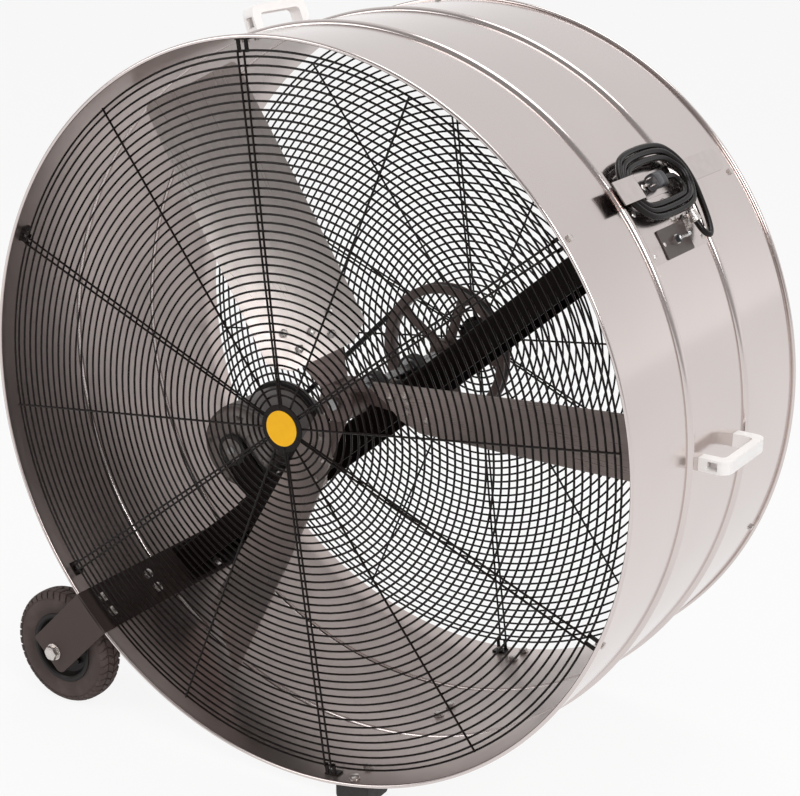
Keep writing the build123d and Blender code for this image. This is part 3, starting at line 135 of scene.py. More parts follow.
class WheelSizes(PropertyGroup):
    radius: length("Wheel radius", "Radius over the tread", 0.110)
    width: length("Tread width", "Width over the tread's blocks", 0.0524)
    groove: length("Groove", "Gap between rows of blocks", 0.0018)
    blocks: IntProperty(name="Tread blocks", description="Blocks in one row of the tread", default=42, min=12)


class CordSizes(PropertyGroup):
    diameter: length("Diameter", "Diameter of the cord", 0.010)
    left: length("Coil left", "Middle of the coil's left round end", -0.040)
    right: length("Coil right", "Middle of the coil's right round end", 0.055)
    radius: length("Coil radius", "Radius of the outermost turn", 0.061)
    pitch: length("Coil pitch", "Distance between turns", 0.0108)


class FanColours(PropertyGroup):
    drum: colour("Drum", "Bright sheet of the drum", 214, 204, 201)
    # Inside colour: darker than the drum colour as painted shade inside the drum; the duller gloss of the
    # inner face is its own
    lining_painted_shade: colour("Drum inside", "Duller inner face of the drum", 190, 177, 173)
    enamel: colour("Enamel", "Black enamel of guards and channel", 20, 12, 10)
    bracket: colour("Bracket", "Wheel bracket paint", 80, 69, 66)
    handle: colour("Handle", "Handle plastic", 252, 249, 247)
    badge: colour("Badge", "Plain disc on the guard", 252, 186, 0)
    aluminium: colour("Aluminium", "Fan blades", 214, 204, 200)
    zinc: colour("Zinc", "Zinc-plated fasteners", 208, 201, 197)
    motor: colour("Motor", "Motor shell paint", 128, 121, 118)
    rubber: colour("Rubber", "Feet and rubber rings", 44, 41, 40)
    tyre: colour("Tyre", "Tyre rubber", 80, 69, 66)
    cord: colour("Cord", "Cord cover", 20, 15, 14)


# ---------------- places ----------------
def polar(radius, deg, y=0.0):
    """Point at a radius and an angle about the fan axis."""
    turn = math.radians(deg)
    return Vector((radius * math.cos(turn), y, radius * math.sin(turn)))


def axes(origin, x_axis, z_axis):
    """Place with its own x and z directions."""
    x = x_axis.normalized()
    z = z_axis.normalized()
    return Matrix.Translation(origin) @ Matrix((x, z.cross(x), z)).transposed().to_4x4()


def on_wall(deg, y, radius=DRUM_RADIUS):
    """Place on the drum: x along it, y round it, z outwards."""
    return axes(polar(radius, deg, y), Y, polar(1, deg))


def in_wall(deg, y, radius=DRUM_RADIUS - SHEET):
    """Place inside the drum, z towards the axis."""
    return axes(polar(radius, deg, y), Y, polar(-1, deg))


def axial(origin=Vector()):
    """Place whose z runs back through the drum."""
    return axes(origin, X, Y)


def side_on(place):
    """Turns an outline in x and y of a place into one in its x and z."""
    return place @ Matrix.Rotation(math.radians(90), 4, "X")


def shift(x, y, z):
    return Matrix.Translation((x, y, z))


def round_point(place, radius, turn, height):
    """Point of a place at a radius, a turn in radians and a height."""
    return place @ Vector((radius * math.cos(turn), radius * math.sin(turn), height))


BEAM_DEG = 40.0
BEAM = axes(Vector(), polar(1, BEAM_DEG), polar(1, BEAM_DEG + 90))
MOTOR_ALONG = -0.364
MOTOR = BEAM @ Vector((MOTOR_ALONG, 0, 0.0649))
BELT_Y = 0.500
BLADE_Y = 0.1755
AXLE = polar(0.757, 225.3)
BRACKET_DEG = 225.05
FOOT_DEG = -78.5
CORD_DEG = 38.9
CORD_FRAME = on_wall(CORD_DEG, 0.311)
CORD_W = 0.0139
EXIT_U = 0.0485
PLUG_V = 0.008
PAIR_DEG = 37.0
SINGLE_DEG = 7.0
PAIRS = [PAIR_DEG + 60 * k for k in range(6)]
SPOKE_END = 0.034
SHAFT_BORE = 0.01103
MOTOR_BORE = 0.00805
AXLE_BORE = 0.00805


# ---------------- shapes ----------------
class Shape:
    """Points and faces gathered for one piece, in drum space."""

    def __init__(self):
        self.points = []
        self.faces = []

    def band(self, a, count_a, b, count_b):
        """Faces between two rows of points; a row of one point is a tip."""
        count = max(count_a, count_b)
        if count == 1:
            return
        for i in range(count):
            j = (i + 1) % count
            if count_a == 1:
                self.faces.append((a, b + i, b + j))
            elif count_b == 1:
                self.faces.append((a + i, a + j, b))
            else:
                self.faces.append((a + i, a + j, b + j, b + i))

    def skin(self, rows, loop=False):
        """Closed surface over rows of points, flat at both ends unless it loops."""
        starts = []
        for row in rows:
            starts.append(len(self.points))
            self.points.extend(row)
        for k in range(len(rows) - (0 if loop else 1)):
            after = (k + 1) % len(rows)
            self.band(starts[k], len(rows[k]), starts[after], len(rows[after]))
        if not loop:
            for start, row in ((starts[0], rows[0]), (starts[-1], rows[-1])):
                if len(row) > 2:
                    self.faces.append(tuple(range(start, start + len(row))))

    def lathe(self, place, profile, steps=64):
        """Turns a closed (radius, height) profile about the z of a place."""
        rows = []
        for radius, height in profile:
            if radius < 1e-7:
                rows.append([place @ Vector((0, 0, height))])
                continue
            turns = [2 * math.pi * k / steps for k in range(steps)]
            rows.append([round_point(place, radius, t, height) for t in turns])
        self.skin(rows, loop=True)

    def prism(self, place, outline, low, high):
        """Straight solid over an outline in the x and y of a place."""
        self.skin([[place @ Vector((x, y, z)) for x, y in outline] for z in (low, high)])

    def box(self, place, x0, x1, y0, y1, z0, z1):
        self.prism(place, [(x0, y0), (x1, y0), (x1, y1), (x0, y1)], z0, z1)

    def pipe(self, path, radius, sides=8, closed=False):
        """Round bar along a path of points, with softened ends."""
        count = len(path)
        ahead = [path[(k + 1) % count] if closed or k + 1 < count else path[k] for k in range(count)]
        behind = [path[k - 1] if closed or k else path[k] for k in range(count)]
        side = None
        rows = []
        for k in range(count):
            along = (ahead[k] - behind[k]).normalized()
            if side is None:
                side = along.orthogonal()
            side = (side - along * side.dot(along)).normalized()
            up = along.cross(side)
            turns = [2 * math.pi * i / sides for i in range(sides)]
            ring = [path[k] + (side * math.cos(t) + up * math.sin(t)) * radius for t in turns]
            if not closed and k == 0:
                rows.append([path[k] + (p - path[k]) * 0.7 for p in ring])
                ring = [p + along * radius * 0.3 for p in ring]
            if not closed and k == count - 1:
                rows.append([p - along * radius * 0.3 for p in ring])
                ring = [path[k] + (p - path[k]) * 0.7 for p in ring]
            rows.append(ring)
        self.skin(rows, loop=closed)

    def hexagon(self, place, across, height, low=0.0):
        """Chamfered hexagon standing on z = low."""
        count = 24
        rim = []
        for k in range(count):
            turn = 2 * math.pi * k / count
            reach = across / 2 / math.cos(math.fmod(turn, math.pi / 3) - math.pi / 6)
            rim.append((reach, turn))
        half = across / 2
        rows = [[(min(r, half * 1.04), t, low) for r, t in rim],
                [(r, t, low + (r - half) * 0.5) for r, t in rim],
                [(r, t, low + height - (r - half) * 0.55 - height * 0.04) for r, t in rim],
                [(half * 0.95, t, low + height) for r, t in rim]]
        self.skin([[round_point(place, *spot) for spot in row] for row in rows])

    def shank(self, place, radius, low, high):
        """Bar from z = low to high, ringed like a thread."""
        steps = max(2, int((high - low) / 0.0016))
        profile = [(0, low), (radius * 0.8, low)]
        for k in range(steps):
            z = low + (high - low) * (k + 0.5) / steps
            profile.append((radius * (1.0 if k % 2 else 0.9), z))
        profile += [(radius * 0.8, high), (0, high)]
        self.lathe(place, profile, 16)

    def washer(self, place, outer, low, high):
        """Disc with softened edges from z = low to high."""
        edge = min(0.0004, (high - low) / 3)
        self.lathe(place, [(0, low), (outer - edge, low), (outer, low + edge), (outer, high - edge),
                           (outer - edge, high), (0, high)], 40)

    def dome(self, place, radius, height, low=0.0):
        """Low round head."""
        profile = [(0, low)]
        for k in range(7):
            share = math.radians(90 * k / 6)
            profile.append((radius * math.cos(share), low + height * (0.12 + 0.88 * math.sin(share))))
        profile[-1] = (0, profile[-1][1])
        profile.insert(1, (radius * 0.97, low))
        self.lathe(place, profile, 32)

    def hex_bolt(self, place, grip, radius):
        """Hexagon bolt: head on the z side of a place, nut past the grip."""
        across = radius * 3.4
        self.hexagon(place, across, radius * 1.3)
        self.hexagon(place @ shift(0, 0, -grip), across, -radius * 1.6)
        self.shank(place, radius, -grip - radius * 2.2, -0.0002)


def arc(centre, radius, start, end, steps):
    """Points on an arc in a plane, angles in degrees."""
    turns = [math.radians(start + (end - start) * k / steps) for k in range(steps + 1)]
    return [(centre[0] + radius * math.cos(t), centre[1] + radius * math.sin(t)) for t in turns]


def rounded(x0, x1, y0, y1, radius, steps=5):
    """Outline of a rectangle with round corners."""
    corners = ((x1 - radius, y0 + radius, -90), (x1 - radius, y1 - radius, 0),
               (x0 + radius, y1 - radius, 90), (x0 + radius, y0 + radius, 180))
    return [p for x, y, deg in corners for p in arc((x, y), radius, deg, deg + 90, steps)]


# ---------------- finishes ----------------
class Finish:
    """One material being put together."""

    def __init__(self, name):
        self.material = bpy.data.materials.new(name)
        self.material.use_nodes = True
        self.nodes = self.material.node_tree.nodes
        self.links = self.material.node_tree.links
        self.shader = self.nodes["Principled BSDF"]
        self.place = self.nodes.new("ShaderNodeTexCoord").outputs["Object"]

    def node(self, kind, **values):
        made = self.nodes.new(kind)
        for key, value in values.items():
            setattr(made, key, value)
        return made

    def set(self, **values):
        for key, value in values.items():
            self.shader.inputs[key.replace("_", " ")].default_value = value

    def noise(self, scale, detail=4.0, stretch=None, source=None):
        """Grey noise in object space, or over another source, stretched if asked."""
        made = self.node("ShaderNodeTexNoise")
        made.inputs["Scale"].default_value = scale
        made.inputs["Detail"].default_value = detail
        source = source or self.place
        if stretch:
            mapping = self.node("ShaderNodeMapping")
            mapping.inputs["Scale"].default_value = stretch
            self.links.new(source, mapping.inputs["Vector"])
            source = mapping.outputs["Vector"]
        self.links.new(source, made.inputs["Vector"])
        return made.outputs["Fac"]

    def off_axis(self, flat=True):
        """Arrow from the middle of the front rim to a point; flat drops its part along the axis."""
        centred = self.node("ShaderNodeVectorMath", operation="SUBTRACT")
        centred.inputs[1].default_value = AXIS
        self.links.new(self.place, centred.inputs[0])
        if not flat:
            return centred.outputs[0]
        across = self.node("ShaderNodeVectorMath", operation="MULTIPLY")
        across.inputs[1].default_value = (1, 0, 1)
        self.links.new(centred.outputs[0], across.inputs[0])
        return across.outputs[0]

    def reach(self, arrow):
        """Length of an arrow."""
        made = self.node("ShaderNodeVectorMath", operation="LENGTH")
        self.links.new(arrow, made.inputs[0])
        return made.outputs["Value"]

    def spread(self, fac, low, high, start=0.3, end=0.7):
        """Value that goes from low to high while a factor goes from start to end."""
        made = self.node("ShaderNodeMapRange")
        for key, value in (("From Min", start), ("From Max", end), ("To Min", low), ("To Max", high)):
            made.inputs[key].default_value = value
        self.links.new(fac, made.inputs["Value"])
        return made.outputs["Result"]

    def tint(self, fac, first, second):
        """Colour between two shades by a factor."""
        made = self.node("ShaderNodeMix", data_type="RGBA")
        made.inputs["A"].default_value = (*first, 1)
        made.inputs["B"].default_value = (*second, 1)
        self.links.new(fac, made.inputs["Factor"])
        return made.outputs["Result"]

    def colour(self, output):
        self.links.new(output, self.shader.inputs["Base Color"])

    def rough(self, output):
        self.links.new(output, self.shader.inputs["Roughness"])

    def bump(self, height, strength, distance):
        made = self.node("ShaderNodeBump")
        made.inputs["Strength"].default_value = strength
        made.inputs["Distance"].default_value = distance
        self.links.new(height, made.inputs["Height"])
        self.links.new(made.outputs["Normal"], self.shader.inputs["Normal"])


def shade(colour, amount):
    return [min(1.0, max(0.0, c * amount)) for c in colour]


def grey(level):
    return [linear(level)] * 3


def plain_finish(name, base, metal=0.0, low=0.4, high=0.5, tint=0.08, patch=9.0, grain=420.0, depth=0.0003,
                 strength=0.12, coat=0.0, gloss=0.5):
    """Even surface: faint patches of shade, uneven gloss and a fine grain."""
    finish = Finish(name)
    patches = finish.noise(patch)
    finish.colour(finish.tint(finish.spread(patches, 0, 1), shade(base, 1 - tint), shade(base, 1 + tint)))
    finish.rough(finish.spread(finish.noise(patch * 5, 6.0), low, high))
    finish.bump(finish.noise(grain, 2.0), strength, depth)
    finish.set(Metallic=metal, Coat_Weight=coat, Specular_IOR_Level=gloss)
    return finish.material


def drum_sheet(colours):
    """Bright rolled sheet, faintly wavy; its inner face is duller and painted darker as painted shade, save
    in the rolled beads, whose inner face keeps the bright outer colour as a painted highlight.
    """
    finish = Finish("drum_sheet")
    outwards = finish.off_axis()
    facing = finish.node("ShaderNodeVectorMath", operation="DOT_PRODUCT")
    finish.links.new(finish.node("ShaderNodeNewGeometry").outputs["Normal"], facing.inputs[0])
    finish.links.new(outwards, facing.inputs[1])
    turned_out = finish.spread(facing.outputs["Value"], 0, 1, -0.02, 0.02)
    # Inner face within the beads: painted bright, a painted highlight of the beads' inner grooves
    bead_painted_highlight = finish.spread(finish.reach(outwards), 0, 1, DRUM_RADIUS - 0.0008, DRUM_RADIUS)
    either = finish.node("ShaderNodeMath", operation="MAXIMUM")
    finish.links.new(turned_out, either.inputs[0])
    finish.links.new(bead_painted_highlight, either.inputs[1])
    # outside holds the outer face together with the painted bead highlight inside
    outside = either.outputs[0]
    clouds = finish.noise(3.0, 3.0)
    bright = finish.tint(finish.spread(clouds, 0, 1), shade(colours.drum, 0.97), shade(colours.drum, 1.03))
    # Darker inner colour: painted shade inside the drum
    dull = finish.tint(finish.spread(clouds, 0, 1), shade(colours.lining_painted_shade, 0.85), shade(colours.lining_painted_shade, 1.15))
    both = finish.node("ShaderNodeMix", data_type="RGBA")
    finish.links.new(outside, both.inputs["Factor"])
    finish.links.new(dull, both.inputs["A"])
    finish.links.new(bright, both.inputs["B"])
    finish.colour(both.outputs["Result"])
    finish.rough(finish.spread(outside, 0.32, 0.15, 0.0, 1.0))
    finish.bump(finish.noise(6.0, 2.0), 0.3, 0.0012)
    finish.set(Metallic=1.0)
    return finish.material


def blade_sheet(colours):
    """Mill-finished aluminium, its rolling lines running out along each blade."""
    finish = Finish("blade_sheet")
    arrow = finish.off_axis(flat=False)
    split = finish.node("ShaderNodeSeparateXYZ")
    finish.links.new(arrow, split.inputs[0])
    turn = finish.node("ShaderNodeMath", operation="ARCTAN2")
    finish.links.new(split.outputs["Z"], turn.inputs[0])
    finish.links.new(split.outputs["X"], turn.inputs[1])
    lines = finish.node("ShaderNodeCombineXYZ")
    finish.links.new(turn.outputs[0], lines.inputs[0])
    finish.links.new(finish.reach(arrow), lines.inputs[1])
    streaks = finish.noise(1.0, 3.0, (170.0, 3.0, 1.0), lines.outputs[0])
    dull = finish.noise(7.0, 3.0)
    mixed = finish.node("ShaderNodeMath", operation="MULTIPLY")
    finish.links.new(streaks, mixed.inputs[0])
    finish.links.new(dull, mixed.inputs[1])
    bare = colours.aluminium
    finish.colour(finish.tint(finish.spread(streaks, 0, 1), shade(bare, 0.93), bare))
    finish.rough(finish.spread(mixed.outputs[0], 0.26, 0.37, 0.12, 0.4))
    finish.bump(streaks, 0.06, 0.0003)
    finish.set(Metallic=0.8)
    return finish.material


def bracket_paint_and_inner_shade(colours):
    """Grey-brown paint on the wheels' side; where the bracket lies within the drum it is painted black enamel
    as painted shade.
    """
    finish = Finish("bracket_paint_and_inner_shade")
    # Black enamel inside the drum: painted shade of the drum's inside, not a second paint
    outer = finish.spread(finish.reach(finish.off_axis()), 0, 1, DRUM_RADIUS - 0.008, DRUM_RADIUS - 0.005)
    finish.colour(finish.tint(outer, colours.enamel, colours.bracket))
    finish.rough(finish.spread(finish.noise(10.0, 4.0), 0.42, 0.54))
    finish.bump(finish.noise(520.0, 3.0), 0.14, 0.0003)
    finish.set(Specular_IOR_Level=0.12)
    return finish.material


def turned_steel(colours):
    """Ground bar with fine rings round it."""
    finish = Finish("turned_steel")
    rings = finish.noise(1.0, 3.0, (20.0, 1400.0, 20.0))
    finish.colour(finish.tint(finish.spread(rings, 0, 1), grey(150), grey(186)))
    finish.rough(finish.spread(rings, 0.22, 0.34))
    finish.bump(rings, 0.08, 0.0002)
    finish.set(Metallic=1.0)
    return finish.material


def tyre_rubber(colours):
    """Dusty black rubber: paler where dust lies on it."""
    finish = Finish("tyre_rubber")
    dust = finish.noise(26.0, 8.0)
    finish.colour(finish.tint(finish.spread(dust, 0, 1, 0.42, 0.72), colours.tyre, shade(colours.tyre, 1.5)))
    finish.rough(finish.spread(dust, 0.62, 0.85))
    finish.bump(finish.noise(700.0, 3.0), 0.2, 0.0005)
    finish.set(Specular_IOR_Level=0.2)
    return finish.material


def wound_copper(colours):
    """Lacquered windings between steel laminations."""
    finish = Finish("wound_copper")
    layers = finish.noise(1.0, 2.0, (40.0, 900.0, 40.0))
    finish.colour(finish.tint(finish.spread(layers, 0, 1), (0.30, 0.10, 0.04), (0.36, 0.33, 0.31)))
    finish.rough(finish.spread(layers, 0.3, 0.5))
    finish.bump(layers, 0.3, 0.0005)
    finish.set(Metallic=0.7)
    return finish.material


FINISHES = {
    "drum": drum_sheet,
    "guard_wire": lambda c: plain_finish(
        "wire_enamel", c.enamel, low=0.22, high=0.32, grain=900, strength=0.05, gloss=0.17),
    "black_steel": lambda c: plain_finish(
        "channel_enamel", c.enamel, low=0.36, high=0.48, grain=500, strength=0.15, gloss=0.08),
    "galvanised": lambda c: plain_finish(
        "zinc_sheet", shade(c.drum, 0.95), metal=1.0, low=0.18, high=0.26, tint=0.03, patch=60, grain=700,
        depth=0.0002, strength=0.05),
    "zinc_fastener": lambda c: plain_finish(
        "zinc_plate", c.zinc, metal=0.9, low=0.22, high=0.34, tint=0.06, patch=60, grain=900, strength=0.04),
    "badge": lambda c: plain_finish(
        "badge_face", c.badge, low=0.3, high=0.4, tint=0.04, patch=40, grain=1200, strength=0.04, coat=0.1,
        gloss=0.25),
    "handle": lambda c: plain_finish(
        "handle_plastic", c.handle, low=0.36, high=0.46, tint=0.015, patch=14, grain=1400, strength=0.1),
    "shaft_steel": turned_steel,
    "bearing_iron": lambda c: plain_finish(
        "bearing_iron", grey(70), metal=0.3, low=0.45, high=0.62, tint=0.12, patch=20, grain=700,
        depth=0.0006, strength=0.35),
    "blade": blade_sheet,
    "hub_steel": lambda c: plain_finish(
        "hub_steel", shade(c.bracket, 2.3), metal=0.4, low=0.34, high=0.46, tint=0.1, patch=25, grain=600,
        depth=0.0004, strength=0.15),
    "pulley": lambda c: plain_finish(
        "pulley_iron", shade(c.bracket, 2.2), metal=0.3, low=0.36, high=0.5, tint=0.12, patch=20, grain=700,
        depth=0.0005, strength=0.2),
    "belt": lambda c: plain_finish(
        "belt_rubber", grey(34), low=0.6, high=0.75, patch=30, grain=1100, depth=0.0005, strength=0.35),
    "motor_body": lambda c: plain_finish(
        "motor_paint", c.motor, low=0.36, high=0.5, patch=12, grain=500, strength=0.15),
    "motor_bell": lambda c: plain_finish(
        "motor_casting", shade(c.motor, 1.15), metal=0.6, low=0.36, high=0.5, tint=0.07, patch=25, grain=800,
        depth=0.0005, strength=0.25),
    "motor_dark": lambda c: plain_finish(
        "motor_dark_paint", grey(44), low=0.38, high=0.52, patch=15, grain=600, strength=0.2),
    "copper_core": wound_copper,
    "rubber": lambda c: plain_finish(
        "mount_rubber", c.rubber, low=0.58, high=0.74, patch=30, grain=900, strength=0.2),
    "tyre": tyre_rubber,
    "wheel_rim": lambda c: plain_finish(
        "rim_paint", shade(c.bracket, 0.16), low=0.4, high=0.52, patch=16, grain=600, gloss=0.25),
    "bracket": bracket_paint_and_inner_shade,
    "switch_plate": lambda c: plain_finish(
        "switch_plate", shade(c.bracket, 0.8), low=0.3, high=0.4, patch=30, grain=900),
    "switch_plastic": lambda c: plain_finish(
        "switch_plastic", (0.042, 0.042, 0.048), low=0.3, high=0.42, patch=40, grain=1200, strength=0.1),
    "lever": lambda c: plain_finish(
        "lever_plate", grey(200), metal=1.0, low=0.1, high=0.2, tint=0.04, patch=60, grain=1200,
        strength=0.03),
    "cord": lambda c: plain_finish(
        "cord_cover", c.cord, low=0.2, high=0.3, patch=50, grain=1500, depth=0.0002, strength=0.06,
        gloss=0.22),
}
MADE = {}


def material(slot):
    if slot not in MADE:
        MADE[slot] = FINISHES[slot](bpy.context.scene.fan_colours)
    return MADE[slot]


# ---------------- pieces ----------------
def mesh_of(name, shape):
    """Mesh of a shape with its faces turned outwards."""
    mesh = bpy.data.meshes.new(name)
    mesh.from_pydata([AXIS + point for point in shape.points], [], shape.faces)
    work = bmesh.new()
    work.from_mesh(mesh)
    bmesh.ops.remove_doubles(work, verts=work.verts, dist=1e-7)
    bmesh.ops.recalc_face_normals(work, faces=work.faces)
    work.to_mesh(mesh)
    work.free()
    return mesh


def piece(name, shape, slot, body="housing", replaces=(), bevel=0.0, sharp=35.0):
    """Makes the object of a shape, gives it its finish and lets it ride on its body."""
    mesh = mesh_of(name, shape)
    for polygon in mesh.polygons:
        polygon.use_smooth = True
    mesh.set_sharp_from_angle(angle=math.radians(sharp))
    made = bpy.data.objects.new(name, mesh)
    bpy.context.scene.collection.objects.link(made)
    made.data.materials.append(material(slot))
    if bevel:
        edge = made.modifiers.new("soft_edges", "BEVEL")
        edge.width = bevel
        edge.segments = 3
        edge.limit_method = "ANGLE"
        edge.angle_limit = math.radians(sharp)
        edge.harden_normals = True
    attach(made, body)
    if replaces:
        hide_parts(*replaces)
    return made


def carve(made, shape):
    """Cuts a shape out of a piece for good."""
    tool = bpy.data.objects.new("cutter", mesh_of("cutter", shape))
    bpy.context.scene.collection.objects.link(tool)
    cut = made.modifiers.new("cut", "BOOLEAN")
    cut.operation = "DIFFERENCE"
    cut.object = tool
    made.modifiers.move(len(made.modifiers) - 1, 0)
    bpy.context.view_layer.update()
    keep = [m for m in made.modifiers if m.name != "cut"]
    for modifier in keep:
        modifier.show_viewport = False
    result = bpy.data.meshes.new_from_object(made.evaluated_get(bpy.context.evaluated_depsgraph_get()))
    made.modifiers.remove(cut)
    for modifier in keep:
        modifier.show_viewport = True
    made.data = result
    bpy.data.objects.remove(tool)


def dress(slot, *nodes):
    """Gives nodes that keep their own shape the finish of their slot."""
    for node in nodes:
        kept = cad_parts[node]
        if not kept.material_slots:
            kept.data.materials.append(None)
        for place in kept.material_slots:
            place.material = material(slot)


class FAN_OT_stage(Operator):
    """Add the floor, the soft lights and the camera"""

    bl_idname = "fan.stage"
    bl_label = "Stage"

    def execute(self, context):
        mesh = bpy.data.meshes.new("floor")
        reach = 40.0
        corners = [(-reach, -reach, 0), (reach, -reach, 0), (reach, reach, 0), (-reach, reach, 0)]
        mesh.from_pydata(corners, [], [(0, 1, 2, 3)])
        floor = bpy.data.objects.new("floor", mesh)
        context.scene.collection.objects.link(floor)
        floor.data.materials.append(self.floor_finish())
        self.sky(context.scene)
        self.lamp("key_light", (3.7, -2.3, 3.4), (0, 0, 0.6), 2.2, 94)
        self.lamp("fill_light", (-3.2, -3.4, 2.6), (0, 0, 0.6), 3.0, 50)
        self.lamp("top_light", (0.4, 0.6, 4.6), (0, 0, 0.5), 3.0, 60)
        self.camera(context.scene)
        context.scene.view_settings.view_transform = "Standard"
        return {"FINISHED"}

    def floor_finish(self):
        """White floor that keeps a soft shadow."""
        finish = Finish("floor_white")
        finish.set(Base_Color=(0.92, 0.92, 0.92, 1), Roughness=0.8, Specular_IOR_Level=0.1)
        lit = finish.node("ShaderNodeEmission")
        lit.inputs["Strength"].default_value = 1.0
        path = finish.node("ShaderNodeLightPath")
        either = finish.node("ShaderNodeMath", operation="MAXIMUM")
        finish.links.new(path.outputs["Is Camera Ray"], either.inputs[0])
        finish.links.new(path.outputs["Is Glossy Ray"], either.inputs[1])
        glow = 0.88
        seen = finish.node("ShaderNodeMath", operation="MULTIPLY")
        seen.inputs[1].default_value = glow
        finish.links.new(either.outputs[0], seen.inputs[0])
        mix = finish.node("ShaderNodeMixShader")
        finish.links.new(seen.outputs[0], mix.inputs[0])
        finish.links.new(finish.shader.outputs[0], mix.inputs[1])
        finish.links.new(lit.outputs[0], mix.inputs[2])
        finish.links.new(mix.outputs[0], finish.nodes["Material Output"].inputs["Surface"])
        return finish.material

    def sky(self, scene):
        """White surroundings that metal sees as a bright wall behind and a dimmer room in front."""
        world = bpy.data.worlds.new("studio")
        scene.world = world
        world.use_nodes = True
        nodes = world.node_tree.nodes
        links = world.node_tree.links
        back = nodes["Background"]
        back.inputs["Color"].default_value = (1, 1, 1, 1)
        path = nodes.new("ShaderNodeLightPath")
        seen = nodes.new("ShaderNodeMath")
        seen.operation = "MAXIMUM"
        links.new(path.outputs["Is Camera Ray"], seen.inputs[0])
        links.new(path.outputs["Is Transmission Ray"], seen.inputs[1])
        place = nodes.new("ShaderNodeTexCoord")
        split = nodes.new("ShaderNodeSeparateXYZ")
        links.new(place.outputs["Generated"], split.inputs[0])
        both = nodes.new("ShaderNodeMath")
        both.operation = "MULTIPLY"
        ramps = (("Y", -0.5, 0.3, 0.38, 1.0), ("Z", 0.0, 0.32, 1.06, 0.86))
        for entry, (axis, start, end, low, high) in zip(both.inputs, ramps):
            ramp = nodes.new("ShaderNodeMapRange")
            for key, value in (("From Min", start), ("From Max", end), ("To Min", low), ("To Max", high)):
                ramp.inputs[key].default_value = value
            links.new(split.outputs[axis], ramp.inputs["Value"])
            links.new(ramp.outputs["Result"], entry)
        soft_light = 0.42
        glossy = self.either(nodes, links, path.outputs["Is Glossy Ray"], soft_light, both.outputs[0])
        level = self.either(nodes, links, seen.outputs[0], glossy, 1.0)
        links.new(level, back.inputs["Strength"])

    def either(self, nodes, links, choice, first, second):
        """First value, or the second where the choice is 1."""
        made = nodes.new("ShaderNodeMix")
        links.new(choice, made.inputs["Factor"])
        for key, value in (("A", first), ("B", second)):
            if hasattr(value, "is_linked"):
                links.new(value, made.inputs[key])
            else:
                made.inputs[key].default_value = value
        return made.outputs["Result"]

    def lamp(self, name, at, target, size, power):
        data = bpy.data.lights.new(name, "AREA")
        data.shape = "DISK"
        data.size = size
        data.energy = power
        made = bpy.data.objects.new(name, data)
        made.location = at
        made.rotation_euler = (Vector(target) - Vector(at)).to_track_quat("-Z", "Y").to_euler()
        bpy.context.scene.collection.objects.link(made)

    def camera(self, scene):
        data = bpy.data.cameras.new("camera")
        data.sensor_width = 36.0
        data.lens = 84.71
        data.clip_end = 200.0
        made = bpy.data.objects.new("camera", data)
        made.location = AXIS + Vector((1.7261, -2.2862, 1.0086))
        target = AXIS + Vector((0.2271, 0.0, 0.0933))
        made.rotation_euler = (target - made.location).to_track_quat("-Z", "Y").to_euler()
        scene.collection.objects.link(made)
        scene.camera = made


